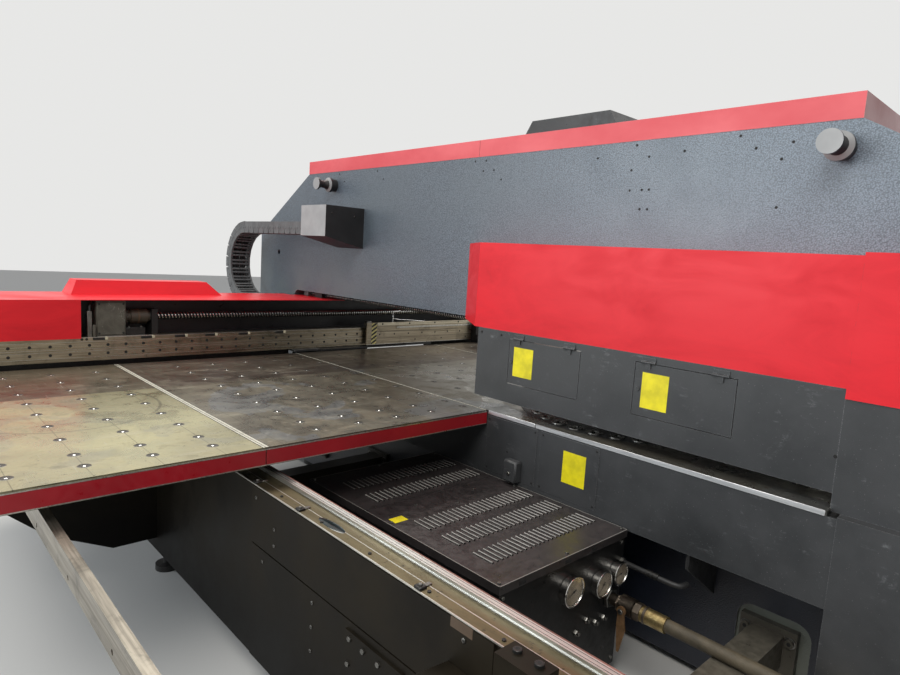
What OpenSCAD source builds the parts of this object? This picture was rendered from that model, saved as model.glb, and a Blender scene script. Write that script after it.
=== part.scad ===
// CNC turret punch press with a closed bridge frame, two turrets and a sheet carriage.
// X runs across the bridge, Y runs along it towards the carriage's home end, Z is up.
// The origin is on the floor under the middle of the bridge. Millimetres.
// The carriage is drawn at its loading position: every travel starts there.

/* [Bridge frame] */
// Length of the bridge frame along Y
frame_l = 5080; // [5000:10:5200]
// Width of the bridge frame across its side plates
frame_w = 720; // [700:10:740]
// Height of the top of the upper beam above the floor
beam_top = 2210; // [2190:5:2260]
// Height of the upper beam's underside, the lip of the throat
lip_z = 1345; // [1340:1:1350]
// Height of the top of the lower beam
lower_top = 560; // [540:5:575]
// Length of the near column, behind the turrets
near_col = 635; // [615:5:645]
// Length of the far column, behind the carriage
far_col = 570; // [540:5:575]
// Height at which the sloped ends of the upper beam start
end_z = 1780; // [1775:5:1820]
// Distance from the frame's ends to the ends of the red cap
cap_setback = 750; // [700:10:780]
// Height of the red cap on the beam
cap_h = 88; // [60:1:110]
// Thickness of the frame's welded plates
plate_t = 40; // [30:1:45]

/* [Turrets and ram] */
// Radius of both turret discs
turret_r = 565; // [545:1:566]
// Distance of the turret axis from the throat's near end
turret_back = 1065; // [1055:1:1075]
// Number of punch stations in a turret
station_n = 32; // [20:2:36]
// Radius of the circle of punch stations
station_r = 500; // [490:1:510]
// Thickness of the upper turret disc
upper_t = 120; // [100:1:124]
// Thickness of the lower turret disc
lower_t = 106; // [90:1:110]
// Gap for the sheet between the table top and the covers
throat_gap = 50; // [45:1:60]
// Radius of the turret shafts
shaft_r = 50; // [40:1:60]
// Radius of the striker
striker_r = 60; // [50:1:65]

/* [Covers] */
// Distance of the turret covers from the bridge's centre plane
cover_x = 588; // [586:1:600]
// Height of the top of the red turret covers
cover_top = 1746; // [1700:1:1760]
// Distance of the turret covers' front edge from the turret axis
cover_front = 590; // [585:1:595]
// Thickness of the sheet steel covers
sheet_t = 4; // [3:0.5:5]
// Length of the front access door
door_front_l = 410; // [360:5:430]
// Length of the rear access door
door_rear_l = 407; // [360:5:430]
// Height of the access doors
door_h = 216; // [180:2:220]

/* [Tables] */
// Height of the table tops above the floor
table_z = 940; // [938:0.5:941]
// Half the width of the fixed centre table
centre_half = 628; // [626:1:632]
// Width of each inner side panel
inner_w = 1154; // [1140:1:1165]
// Width of each outer side panel
outer_w = 833; // [800:1:850]
// Length of the side tables along Y
table_l = 1839; // [1800:1:1845]
// Thickness of the table plates
table_t = 12; // [10:1:14]
// Depth of the side tables' red edge
edge_h = 70; // [66:1:70]
// Spacing of the ball transfers
ball_pitch = 205; // [190:5:205]

/* [Carriage] */
// Height of the carriage's guide bar
bar_h = 134; // [130:1:136]
// Top of the red carriage cover
cover_z = 1304; // [1300:1:1308]
// Half the length of the carriage base across the machine
base_half = 2560; // [2545:5:2600]
// Length of the sheet carriage
slide_l = 2526; // [2500:2:2540]
// Distance between the two work clamps
clamp_gap = 900; // [700:10:1000]
// Radius of the carriage's X screw
x_screw_r = 22; // [18:1:24]
// Radius of the Y screw
y_screw_r = 14; // [12:0.5:14]

/* [Guides] */
// Distance of the inner guide rails from the centre plane
guide_x = 1722; // [1715:1:1730]
// Height of the guide beams' tops
guide_z = 800; // [796:1:802]
// Width of the guide beams
guide_w = 147; // [140:1:155]
// Distance of the outer rails from the centre plane
outer_x = 2456; // [2440:1:2465]

/* [Hydraulic unit] */
// Width of the hydraulic cabinet across the machine
tank_w = 740; // [700:5:742]
// Length of the hydraulic cabinet along Y
tank_l = 1160; // [1100:10:1180]
// Height of the hydraulic cabinet's lid above the floor
lid_z = 630; // [610:2:640]

/* [Cable chain] */
// Radius of the cable chain's bend at its middle
bend_r = 277.5; // [275:0.5:279]
// Height of a chain link
link_h = 85; // [75:1:88]
// Width of a chain link
link_w = 165; // [150:1:170]

/* [Hidden] */
$fn = 64;

// Clearance between pieces that sit next to each other, and the running fit of shafts
seat = 0.3;
fit = 0.05;
// Overshoot of cutting shapes
cut = 1;

// Bridge frame
y_near = -frame_l / 2;
y_far = frame_l / 2;
throat_near = y_near + near_col;
throat_far = y_far - far_col;
foot_h = 40;
half_w = frame_w / 2;
cap_near = y_near + cap_setback + 8;
cap_far = y_far - cap_setback + 7;
cap_joint = 24;
cap_top = beam_top + cap_h;
throat_round = 60;

// Turrets: the sheet passes at table height
turret_y = throat_near + turret_back;
punch_y = turret_y + station_r;
upper_z = table_z + throat_gap + 10;
lower_z1 = table_z - 4;
lower_z0 = lower_z1 - lower_t;
punch_head_z = upper_z + 192;
wheel_r = 260;
pinion_r = 110;
chain_t = 20;
upper_chain_z = upper_z + 200;
lower_chain_z = lower_z0 - 70;
drive_y = turret_y - 810;
drive_r = 30;
stroke = 37;
ram_r = 110;
ram_h = 520;
slug_r = 58;
slug_l = 160;
bearing_r = 150;

// Covers
cover_z0 = lip_z - 15;
access_z0 = table_z + throat_gap;
cover_y0 = throat_near + 4;
cover_y1 = turret_y + cover_front;
bevel_l = 304;
bevel_y = cover_y1 + bevel_l;
bevel_k = bevel_l / (cover_x - half_w);
bevel_shift = sheet_t * sqrt(1 + bevel_k * bevel_k);
door_z1 = access_z0 + 309;
door_gap = 3;
door_front_y = cover_y1 - 238;
door_rear_y = cover_y1 - 910;
hinge_z = door_z1 + 2;
hinge_r = 5;
hinge_x = cover_x + hinge_r + 0.5;
pin_r = 2.5;
end_y = -(y_far + 49);
step_z = table_z - 10;
cabinet_x = centre_half + 4;

// Tables
table_rear = throat_far - 545;
table_front = table_rear - table_l;
side_x0 = centre_half + 5;
side_x1 = side_x0 + inner_w;
side_x2 = side_x1 + outer_w;
centre_t = 18;
turret_hole = turret_r + 8;
ball_r = 11;
cup_r = 17;
row_pitch = 200;
ball_rows = [for (y = [table_rear - 195:-row_pitch:turret_y + turret_hole + 60]) y];
all_rows = concat(
    [for (y = [table_rear - 195:-row_pitch:table_front + 200]) y], [table_front + 114]);
centre_cols = [for (k = [-2:2]) k * ball_pitch];
inner_cols = [for (k = [0:4]) centre_half + 62 + k * ball_pitch];
outer_cols = [for (k = [0:3]) side_x1 + 149 + k * ball_pitch];

// Carriage
bar_z0 = table_z + 17;
bar_z1 = bar_z0 + bar_h;
bar_y = table_rear + 62;
rail_d = 10;
bar_back = bar_y + 60;
base_back = throat_far - 20;
outer_back = base_back + 110;
wall_y = bar_y + 203;
bay_x = base_half - 616;
x_screw_y = bar_y + 113;
x_screw_z = cover_z - 108;
x_motor_x = bay_x - 84;
x_nut = x_motor_x - 623;
slide_x0 = x_nut - slide_l / 2;
face_y = bar_y - 37;
clamp_mid = x_nut + 363;
jaw_z = table_z + 45;
jaw_y = face_y - 50;

// Y screw, under the upper beam on the left
y_screw_x = half_w - 90;
y_screw_z = lip_z - 21;
y_nut_y = bar_y + 213;

// Guides
beam_x0 = guide_x - 47;
beam_x1 = beam_x0 + guide_w;
guide_near = throat_near - 55;
guide_far = throat_far - 270;
rail_top = guide_z + 22;
beam_z0 = 133;
outer_top = 820;
arm_ys = [guide_far - 1050, guide_near + 400];

// Cross beams between the frame and the guide beams
cross_ys = [guide_near + 258, guide_far - 1640, guide_far - 920, guide_far - 200];
cross_w = 116;
cross_z1 = 345;

// Hydraulic unit
tank_x0 = centre_half + 12;
tank_x1 = tank_x0 + tank_w;
tank_y0 = throat_near + 685;
tank_y1 = tank_y0 + tank_l;
lid_h = 30;
hose_x = tank_x0 + 80;
hose_z = lid_z - 259;
hose_r = 25;
valve_y = tank_y0 - 90;

// Cable chain and its box
chain_x0 = 475;
chain_x1 = chain_x0 + link_w;
box_x1 = 655;
box_y0 = throat_far - 895;
box_y1 = box_y0 + 306;
box_z1 = end_z + 168;
chain_top = box_z1 - 105;
chain_mid = chain_top - link_h / 2;
bend_y = outer_back + 209;
bend_n = 11;
link_p = PI * bend_r / bend_n;
bend_z = chain_mid - bend_r;

// Box given by its lowest and highest corners
module bx(x0, x1, y0, y1, z0, z1)
    translate([x0, y0, z0]) cube([x1 - x0, y1 - y0, z1 - z0]);

// Closed box with walls of one thickness
module hollow(x0, x1, y0, y1, z0, z1, t)
    difference() {
        bx(x0, x1, y0, y1, z0, z1);
        bx(x0 + t, x1 - t, y0 + t, y1 - t, z0 + t, z1 - t);
    }

// Outline in Y and Z, carried along X from x0
module along_x(x0, w)
    translate([x0, 0, 0]) rotate([90, 0, 90]) linear_extrude(w) children();

// Outline in X and Z, carried along Y from y0
module along_y(y0, l)
    translate([0, y0 + l, 0]) rotate([90, 0, 0]) linear_extrude(l) children();

// Round bars along X and along Y
module rod_x(x0, x1, y, z, r)
    translate([x0, y, z]) rotate([0, 90, 0]) cylinder(h = x1 - x0, r = r);

module rod_y(y0, y1, x, z, r)
    translate([x, y0, z]) rotate([-90, 0, 0]) cylinder(h = y1 - y0, r = r);

// Upright bar at a place
module post(x, y, z0, z1, r)
    translate([x, y, z0]) cylinder(h = z1 - z0, r = r);

// Rectangle with round corners, given by its corners
module round_rect(x0, y0, x1, y1, r) {
    translate([x0 + r, y0]) square([x1 - x0 - 2 * r, y1 - y0]);
    translate([x0, y0 + r]) square([x1 - x0, y1 - y0 - 2 * r]);
    for (x = [x0 + r, x1 - r], y = [y0 + r, y1 - r])
        translate([x, y]) circle(r);
}

// A piece and its mirror image on the other side of the bridge
module both() {
    children();
    mirror([1, 0, 0]) children();
}

// Bridge frame: a welded box with a closed throat

module frame_outline()
    polygon([
        [y_near, foot_h], [y_near, end_z], [cap_near, beam_top],
        [cap_far, beam_top], [y_far, end_z], [y_far, foot_h]]);

module upper_cavity()
    polygon([
        [y_near + plate_t, lip_z + plate_t], [y_near + plate_t, end_z - 0.6 * plate_t],
        [cap_near + 0.3 * plate_t, beam_top - plate_t],
        [cap_far - 0.3 * plate_t, beam_top - plate_t],
        [y_far - plate_t, end_z - 0.6 * plate_t], [y_far - plate_t, lip_z + plate_t]]);

// Row of compartments between ribs
module compartments(ya, yb, za, zb, n, rib) {
    cell = (yb - ya - (n - 1) * rib) / n;
    for (i = [0:n - 1])
        translate([ya + i * (cell + rib), za]) square([cell, zb - za]);
}

module frame_cavities() {
    intersection() {
        upper_cavity();
        compartments(y_near + plate_t, y_far - plate_t, lip_z, beam_top, 6, plate_t / 2);
    }
    compartments(throat_near, throat_far, foot_h + plate_t, lower_top - plate_t, 5, plate_t / 2);
    translate([y_near + plate_t, foot_h + plate_t])
        square([near_col - 2 * plate_t, lip_z - foot_h - plate_t]);
    translate([throat_far + plate_t, foot_h + plate_t])
        square([far_col - 2 * plate_t, lip_z - foot_h - plate_t]);
}

// Machined pockets low in the frame's sides, where the first cross beams are bolted on
window_d = 12;
window_y0 = guide_near + 114;
window_y1 = window_y0 + 267;
window_z0 = 130;
window_z1 = 405;

module bridge_frame() color("darkslategray")
    difference() {
        along_x(-half_w, frame_w)
            difference() {
                frame_outline();
                round_rect(throat_near, lower_top, throat_far, lip_z, throat_round);
            }
        along_x(plate_t - half_w, frame_w - 2 * plate_t)
            frame_cavities();
        // Round holes through the ribs and diaphragms
        rod_y(y_near + plate_t, y_far - plate_t, 0, (lip_z + end_z) / 2, 120);
        rod_y(y_near + plate_t, y_far - plate_t, 0, (foot_h + lower_top) / 2, 120);
        for (y = [y_near + near_col / 2, y_far - far_col / 2])
            post(0, y, lip_z - cut, lip_z + plate_t + cut, 120);
        // Holes for the ram cylinder and for the slugs, through the ribs as well
        post(0, punch_y, lip_z - cut, lip_z + ram_h + cut, ram_r + seat);
        post(0, punch_y, lower_top - slug_l - cut, lower_top + cut, slug_r + seat);
        both() {
            along_x(-half_w - cut, window_d + cut)
                round_rect(window_y0, window_z0, window_y1, window_z1, 60);
            rod_x(-half_w - cut, plate_t - half_w + cut, y_far - 307, end_z - 155, 20);
        }
    }

// Two red sheet covers along the top of the beam
module frame_caps() color("indianred")
    for (span = [[cap_near, cap_joint - 1], [cap_joint + 1, cap_far]])
        difference() {
            bx(-half_w - 2, half_w + 2, span[0], span[1], beam_top, cap_top);
            bx(sheet_t - half_w - 2, half_w + 2 - sheet_t, span[0] + sheet_t,
                span[1] - sheet_t, beam_top - cut, cap_top - sheet_t);
        }

hood_y0 = punch_y - 450;
hood_y1 = punch_y + 110;
hood_h = 77;

// Dark hood over the ram's hydraulics, with sloped ends
module top_hood() color("dimgray")
    difference() {
        along_x(60 - half_w, frame_w - 120)
            polygon([
                [hood_y0, cap_top], [hood_y0 + 50, cap_top + hood_h],
                [hood_y1 - 50, cap_top + hood_h], [hood_y1, cap_top]]);
        along_x(60 - half_w + sheet_t, frame_w - 120 - 2 * sheet_t)
            polygon([
                [hood_y0 + 2 * sheet_t, cap_top - cut],
                [hood_y0 + 50 + sheet_t, cap_top + hood_h - sheet_t],
                [hood_y1 - 50 - sheet_t, cap_top + hood_h - sheet_t],
                [hood_y1 - 2 * sheet_t, cap_top - cut]]);
    }

// Lifting bosses on the frame's sides: a spool with a waist between its two flanges
module trunnion()
    rotate_extrude()
        polygon([
            [0, 0], [42, 0], [42, 36], [50, 40], [50, 56], [34, 66], [25, 90], [25, 116],
            [36, 134], [41, 137], [41, 150], [0, 150]]);

module lifting_trunnions() color("dimgray")
    both()
        for (y = [y_near + 807, y_far - 1093])
            translate([-half_w, y, beam_top - 96]) rotate([0, -90, 0]) trunnion();

// Turret covers

module cover_outline(inset)
    polygon([
        [-half_w + min(inset, 1), bevel_y - inset * bevel_shift / sheet_t],
        [inset - cover_x, inset * bevel_k + cover_y1 - inset * bevel_shift / sheet_t],
        [inset - cover_x, cover_y0 - min(inset, 1)],
        [-half_w + min(inset, 1), cover_y0 - min(inset, 1)]]);

module turret_cover()
    difference() {
        translate([0, 0, cover_z0]) linear_extrude(cover_top - cover_z0) cover_outline(0);
        translate([0, 0, cover_z0 - cut])
            linear_extrude(cover_top - cover_z0 - sheet_t + cut) cover_outline(sheet_t);
    }

module turret_cover_left() color("crimson") turret_cover();
module turret_cover_right() color("crimson") mirror([1, 0, 0]) turret_cover();

// Leaf and knuckles of a door hinge: the middle knuckle is the door's
hinge_l = 60;

module hinge_barrel(y, y0, y1)
    rod_y(y + y0, y + y1, -hinge_x, hinge_z, hinge_r);

module hinge_fixed(y) {
    bx(-cover_x - sheet_t, -cover_x, y, y + hinge_l, hinge_z + hinge_r + 1, hinge_z + 20);
    for (end = [0, 40]) {
        hinge_barrel(y, end, end + 20);
        bx(-hinge_x, -cover_x, y + end, y + end + 20, hinge_z + 1, hinge_z + hinge_r + 2);
    }
    rod_y(y, y + hinge_l, -hinge_x, hinge_z, pin_r);
}

module hinge_moving(y)
    difference() {
        union() {
            hinge_barrel(y, 20 + seat, 40 - seat);
            bx(-hinge_x - 1, -cover_x, y + 20 + seat, y + 40 - seat, hinge_z - 25, hinge_z - 3);
        }
        rod_y(y, y + hinge_l, -hinge_x, hinge_z, pin_r + fit);
    }

function hinge_ys(y1, l) = [y1 - 90, y1 - l + 30];

module access_cover()
    difference() {
        union() {
            bx(-cover_x, sheet_t - cover_x, cover_y0, cover_y1 - 28, access_z0, cover_z0);
            bx(-cover_x, -cover_x + 98, cover_y1 - 28 - sheet_t, cover_y1 - 28,
                access_z0, cover_z0);
            for (y = hinge_ys(door_front_y, door_front_l)) hinge_fixed(y);
            for (y = hinge_ys(door_rear_y, door_rear_l)) hinge_fixed(y);
        }
        for (d = [[door_front_y, door_front_l], [door_rear_y, door_rear_l]])
            bx(-cover_x - cut, sheet_t - cover_x + cut, d[0] - d[1], d[0],
                door_z1 - door_h, door_z1);
    }

module access_cover_left() color("#303234") access_cover();
module access_cover_right() color("#303234") mirror([1, 0, 0]) access_cover();

// Door with a lock at its front, hung on two hinges along its top edge
module door(y1, l) {
    bx(-cover_x, sheet_t - cover_x, y1 - l + door_gap, y1 - door_gap,
        door_z1 - door_h + door_gap, door_z1 - door_gap);
    rod_x(-cover_x - 6, -cover_x, y1 - 20, door_z1 - door_h / 2, 9);
    for (y = hinge_ys(y1, l)) hinge_moving(y);
}

module door_left_front() color("#36383a") door(door_front_y, door_front_l);
module door_left_rear() color("#36383a") door(door_rear_y, door_rear_l);
module door_right_front() color("#36383a") mirror([1, 0, 0]) door(door_front_y, door_front_l);
module door_right_rear() color("#36383a") mirror([1, 0, 0]) door(door_rear_y, door_rear_l);

// Red cover round the near column
module end_cover() color("crimson")
    difference() {
        bx(-cover_x - 4, cover_x + 4, end_y, cover_y0, door_z1 - 1, cover_top + 10);
        bx(sheet_t - cover_x - 4, cover_x + 4 - sheet_t, end_y + sheet_t, cover_y0 + cut,
            door_z1 - 1 - cut, cover_top + 10 - sheet_t);
        bx(-half_w - seat, half_w + seat, y_near - seat, cover_y0 + cut,
            door_z1, cover_top + 10 + cut);
    }

// Dark cabinet round the near column, wider below table height
module end_cabinet() color("#2b2d2f")
    difference() {
        union() {
            bx(-cover_x, cover_x, end_y, cover_y0, step_z, door_z1 - 1);
            bx(-cabinet_x, cabinet_x, end_y, cover_y0 - 34, foot_h + 20, step_z);
        }
        bx(sheet_t - cover_x, cover_x - sheet_t, end_y + sheet_t, cover_y0 + cut,
            step_z - sheet_t, door_z1);
        bx(sheet_t - cabinet_x, cabinet_x - sheet_t, end_y + sheet_t, cover_y0 - 34 - sheet_t,
            foot_h + 20 - cut, step_z - sheet_t);
        bx(-half_w - seat, half_w + seat, y_near - seat, cover_y0, foot_h, step_z);
        bx(-centre_half, centre_half, throat_near - seat, cover_y0 + cut, step_z - cut, table_z + seat);
    }

// Centre table, with a round opening for the lower turret

module ball_holes(cols, rows, side)
    for (x = cols, y = rows)
        post(side * x, y, table_z - 60, table_z + cut, cup_r + seat);

module centre_table() color("darkgray")
    difference() {
        bx(-centre_half, centre_half, throat_near, table_rear, table_z - centre_t, table_z);
        post(0, turret_y, table_z - centre_t - cut, table_z + cut, turret_hole);
        post(0, drive_y, table_z - centre_t - cut, table_z + cut, drive_r + 8);
        ball_holes(centre_cols, ball_rows, 1);
    }

table_under = table_z - centre_t;
rail_half = 330;
post_ys = [for (k = [1555, 865, 185]) table_rear - k];
arm_ys_front = [turret_y + turret_hole + 27, table_rear - 1080, table_rear - 125];

module table_frame() color("#26282a") {
    both() {
        bx(rail_half - 60, rail_half, turret_y + turret_hole + 30, table_rear - 10,
            table_under - 50, table_under);
        bx(rail_half - 60, rail_half, throat_near, turret_y - turret_hole - 20,
            table_under - 50, table_under);
        for (y = concat(post_ys, [throat_near + 125]))
            bx(rail_half - 60, rail_half, y - 30, y + 30, lower_top, table_under - 50);
        bx(centre_half - 34, centre_half - 10, throat_near, table_rear - 10,
            table_under - 20, table_under);
        // Gusset from the frame's side to the table's edge, under the turrets
        along_y(turret_y - 640, 12)
            polygon([
                [half_w, 380], [half_w, table_under - 20], [centre_half - 10, table_under - 20],
                [centre_half - 10, 560]]);
    }
    for (y = arm_ys_front)
        bx(10 - centre_half, centre_half - 10, y - 20, y + 20, table_under - 50, table_under);
}

// Ball transfer: a steel ball in a cup, a little above the table
module ball_transfer() {
    cylinder(h = 26, r = cup_r);
    translate([0, 0, 26 + 1.5 - ball_r]) sphere(ball_r);
}

module ball_set(cols, rows, side)
    for (x = cols, y = rows)
        translate([side * x, y, table_z - 26]) ball_transfer();

module centre_balls() color("silver") ball_set(centre_cols, ball_rows, 1);

// Dark plates that close the space under the centre table
skirt_z0 = 622;

module skirts() color("#313335")
    both() {
        bx(centre_half - 10, centre_half, cover_y0 - 34, table_rear - 10, skirt_z0, table_under);
        for (y = [cover_y1 - 163, cover_y1 - 493])
            bx(centre_half, centre_half + 3, y - 320, y - 10, skirt_z0 + 28, table_under - 6);
    }

// Guide beams on each side, with an arm that carries the outer rail
stop_y0 = guide_near + 185;
stop_y1 = stop_y0 + 120;

module guide_beam() {
    hollow(-beam_x1 + 10, -beam_x0, guide_near, guide_far, beam_z0, guide_z, 12);
    // Ledge beside the rail
    bx(-beam_x1, -guide_x - 13, guide_near, guide_far, guide_z, guide_z + 6);
    for (y = arm_ys)
        along_y(y, 110)
            polygon([
                [-beam_x1 + 10, 200], [-beam_x1 + 10, guide_z - 120],
                [-outer_x + 40, outer_top - 80], [-outer_x - 30, outer_top - 80],
                [-outer_x - 30, outer_top - 300], [-outer_x + 180, 330], [-2010, 200]]);
    // End stop
    bx(-beam_x1 - 68, -beam_x1 + 10, stop_y0, stop_y1, guide_z - 30, guide_z - cut);
    bx(-beam_x1 - 68, -beam_x1 - cut, stop_y0, stop_y1, guide_z - cut, guide_z + 40);
}

module guide_beams() color("#292a2b") both() guide_beam();

module guide_rails() color("gainsboro")
    both()
        difference() {
            bx(-guide_x - 12, -guide_x + 12, guide_near, guide_far, guide_z, rail_top);
            for (x = [-guide_x - 13, -guide_x + 7])
                bx(x, x + 6, guide_near - cut, guide_far + cut, guide_z + 8, guide_z + 14);
        }

// Bolted plates on the outside of the guide beams
panel_y0 = guide_near + 366;
panel_y1 = panel_y0 + 1204;

module guide_panels() color("#302c28")
    both() {
        difference() {
            union() {
                bx(-beam_x1, -beam_x1 + 10 - seat, panel_y0, panel_y1, guide_z - 215, guide_z - 2);
                bx(-beam_x1, -beam_x1 + 10 - seat, panel_y0, panel_y1, beam_z0 + 10, guide_z - 220);
            }
            bx(-beam_x1 - cut, -beam_x1 + 11, arm_ys[1] - seat, arm_ys[1] + 110 + seat,
                195, guide_z - 118);
        }
        bx(-beam_x1 - 8, -beam_x1, panel_y0 + 304, panel_y0 + 574, beam_z0 + 67, guide_z - 244);
    }

module outer_rails() color("#6d675c")
    both()
        difference() {
            bx(-outer_x - 14, -outer_x + 14, guide_near, guide_far, outer_top - 80, outer_top);
            for (y = [guide_near + 100:400:guide_far - 60])
                rod_x(-outer_x - 15, -outer_x + 15, y, outer_top - 60, 7);
        }

// Rectangular tubes, flanged to the frame's sides
module cross_beams() color("#3a3a36")
    both()
        for (y = cross_ys) {
            difference() {
                bx(-beam_x0 + seat, -half_w - 20, y - cross_w / 2, y + cross_w / 2,
                    cross_z1 - 120, cross_z1);
                bx(-beam_x0 - cut, -half_w - 30, y - cross_w / 2 + 8, y + cross_w / 2 - 8,
                    cross_z1 - 112, cross_z1 - 8);
            }
            bx(-half_w - 20, y < window_y1 ? window_d - half_w : -half_w,
                y - 103, y + 103, window_z0 + 15, cross_z1 + 25);
            for (dy = [-80, 80], z = [cross_z1 - 17, cross_z1 - 170])
                rod_x(-half_w - 34, -half_w - 20, y + dy, z, 15);
        }

// Feet: pads under the frame, screws and pads under the guide beams and the cabinet
module levelling_feet() color("#3c3d3e")
    both() {
        for (y = [y_near + 160, y_near + 800, 0, y_far - 800, y_far - 160])
            post(half_w - 110, y, 0, foot_h, 95);
        for (y = [guide_near + 160, guide_near + 1360, arm_ys[0] + 55, guide_far - 100]) {
            post(beam_x0 + guide_w / 2 - 5, y, 0, 30, 55);
            post(beam_x0 + guide_w / 2 - 5, y, 30, beam_z0, 18);
        }
    }

// Hydraulic unit beside the lower beam, on the left

shelf_z = 300;

module hydraulic_tank() color("#222426") {
    difference() {
        bx(-tank_x1, -tank_x0, tank_y0, tank_y1, 60, lid_z - 3);
        bx(sheet_t - tank_x1, -tank_x0 - sheet_t, tank_y0 + sheet_t, tank_y1 - sheet_t,
            shelf_z, lid_z);
        bx(sheet_t - tank_x1, -tank_x0 - sheet_t, tank_y0 + sheet_t, tank_y1 - sheet_t,
            60 + sheet_t, shelf_z - sheet_t);
        post(-tank_x0 - 120, tank_y1 - 120, shelf_z - 2 * sheet_t, shelf_z + cut, 30);
    }
    for (x = [-tank_x1 + 60, -tank_x0 - 60], y = [tank_y0 + 80, tank_y1 - 80])
        post(x, y, 0, 60, 40);
}

// Lid with five rows of slots
slot_n = 25;
slot_p = (tank_w - 110) / slot_n;
slot_rows = [for (k = [117, 283, 444, 773, 944]) tank_y0 + k];

module hydraulic_lid() color("#4a433f")
    difference() {
        bx(-tank_x1 - 6, -tank_x0 + 5, tank_y0 - 6, tank_y1 + 6, lid_z - lid_h, lid_z);
        bx(-tank_x1 - 3, -tank_x0 + 2, tank_y0 - 3, tank_y1 + 3, lid_z - lid_h - cut, lid_z - 3);
        for (y = slot_rows, k = [0:slot_n - 1])
            bx(-tank_x0 - 40 - k * slot_p - 5, -tank_x0 - 40 - k * slot_p,
                y, y + 96, lid_z - 3 - cut, lid_z + cut);
    }

// Motor and pump inside the cabinet
module pump_motor() color("#4d5a66") {
    motor_x = tank_x0 + 260;
    motor_y = tank_y0 + 220;
    motor_z = shelf_z + 130;
    rod_y(motor_y, motor_y + 380, -motor_x, motor_z, 105);
    rod_y(motor_y - 120, motor_y, -motor_x, motor_z, 60);
    for (y = [motor_y + 30, motor_y + 310])
        bx(-motor_x - 80, -motor_x + 80, y, y + 40, shelf_z, motor_z - 40);
    // Valve block and accumulator
    bx(-tank_x1 + 80, -tank_x1 + 260, motor_y - 100, motor_y + 100, shelf_z, shelf_z + 160);
    post(-tank_x1 + 170, motor_y + 440, shelf_z, lid_z - lid_h - 20, 85);
}

// Gauges on the cabinet's front: distance from its inner side and from the lid, and radius
gauges = [[361, 134, 58], [166, 168, 53], [50, 160, 48]];

module pressure_gauges() color("silver")
    for (g = gauges)
        difference() {
            rod_y(tank_y0 - 32, tank_y0, -tank_x0 - g[0], lid_z - g[1], g[2]);
            rod_y(tank_y0 - 33, tank_y0 - 28, -tank_x0 - g[0], lid_z - g[1], g[2] - 6);
        }

// Ball valve on the cabinet's front, and the fittings of the hose
elbow_y = cover_y0 - 109;

module ball_valve() color("#8a6d3b") {
    rod_y(valve_y + 30, tank_y0, -hose_x, hose_z, 24);
    rod_y(valve_y - 30, valve_y + 30, -hose_x, hose_z, 38);
    rod_y(valve_y - 60, valve_y - 30, -hose_x, hose_z, 30);
    rod_x(-hose_x - 55, -hose_x, valve_y, hose_z, 9);
    // Ferrule on the hose, and the elbow at its other end
    difference() {
        rod_y(valve_y - 160, valve_y - 60, -hose_x, hose_z, 31);
        rod_y(valve_y - 161, valve_y - 70, -hose_x, hose_z, hose_r + seat);
    }
    difference() {
        union() {
            rod_y(elbow_y, elbow_y + 90, -hose_x, hose_z, 31);
            rod_x(-hose_x, -cabinet_x, elbow_y, hose_z, 31);
            translate([-hose_x, elbow_y, hose_z]) sphere(31);
        }
        rod_y(elbow_y + 40, elbow_y + 91, -hose_x, hose_z, hose_r + seat);
    }
}

module valve_lever() color("#9a5b2e")
    difference() {
        union() {
            rod_x(-hose_x - 54, -hose_x - 46, valve_y, hose_z, 18);
            along_x(-hose_x - 54, 6)
                polygon([
                    [valve_y - 12, hose_z], [valve_y - 24, hose_z - 70],
                    [valve_y - 4, hose_z - 165], [valve_y + 4, hose_z - 165],
                    [valve_y + 14, hose_z - 60], [valve_y + 12, hose_z]]);
        }
        rod_x(-hose_x - 60, -hose_x - 40, valve_y, hose_z, 9 + fit);
    }

module hydraulic_hose() color("#4f4a3f")
    rod_y(elbow_y + 40, valve_y - 70, -hose_x, hose_z, hose_r);

// Y drive: two bearing blocks under the beam, and the motor behind the near one

y_bearing_near = [cover_y1 + 50, cover_y1 + 110];
y_bearing_far = [throat_far - 122, throat_far - 62];
y_block_half = 38;
y_motor_half = 65;

module y_screw_drive() color("#5b5e60")
    difference() {
        union() {
            for (span = [y_bearing_near, y_bearing_far])
                bx(-y_screw_x - y_block_half, -y_screw_x + y_block_half, span[0], span[1],
                    y_screw_z - y_screw_r - 4, lip_z);
            bx(-y_screw_x - y_motor_half, -y_screw_x + y_motor_half,
                cover_y1 - 80, y_bearing_near[0], lip_z - 2 * y_motor_half, lip_z);
        }
        rod_y(y_bearing_near[0] - 60, y_bearing_far[1] + cut, -y_screw_x, y_screw_z, y_screw_r + fit);
    }

module y_ball_screw() color("silver")
    rod_y(y_bearing_near[0] - 55, y_bearing_far[1] - 5, -y_screw_x, y_screw_z, y_screw_r);

// Ram: a fixed cylinder in the upper beam, and the striker that comes down from it

module ram_cylinder() color("#54585c")
    difference() {
        union() {
            post(0, punch_y, lip_z - 30, lip_z, ram_r + 55);
            post(0, punch_y, lip_z, lip_z + ram_h, ram_r);
        }
        post(0, punch_y, lip_z - 31, lip_z + ram_h - 40, striker_r + fit);
    }

striker_z = punch_head_z + stroke + 4;

module striker() color("silver") {
    post(0, punch_y, striker_z + 30, lip_z + ram_h - 120, striker_r);
    post(0, punch_y, striker_z, striker_z + 30, striker_r + 12);
}

// Turrets, their shafts and the chain drive

module sprocket(r, teeth) {
    circle(r - 8);
    for (i = [0:teeth - 1])
        rotate(i * 360 / teeth)
            polygon([[r - 10, -7], [r, -2.5], [r, 2.5], [r - 10, 7]]);
}

module station(i)
    translate([0, turret_y, 0]) rotate(90 + i * 360 / station_n) translate([station_r, 0, 0])
        children();

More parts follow.
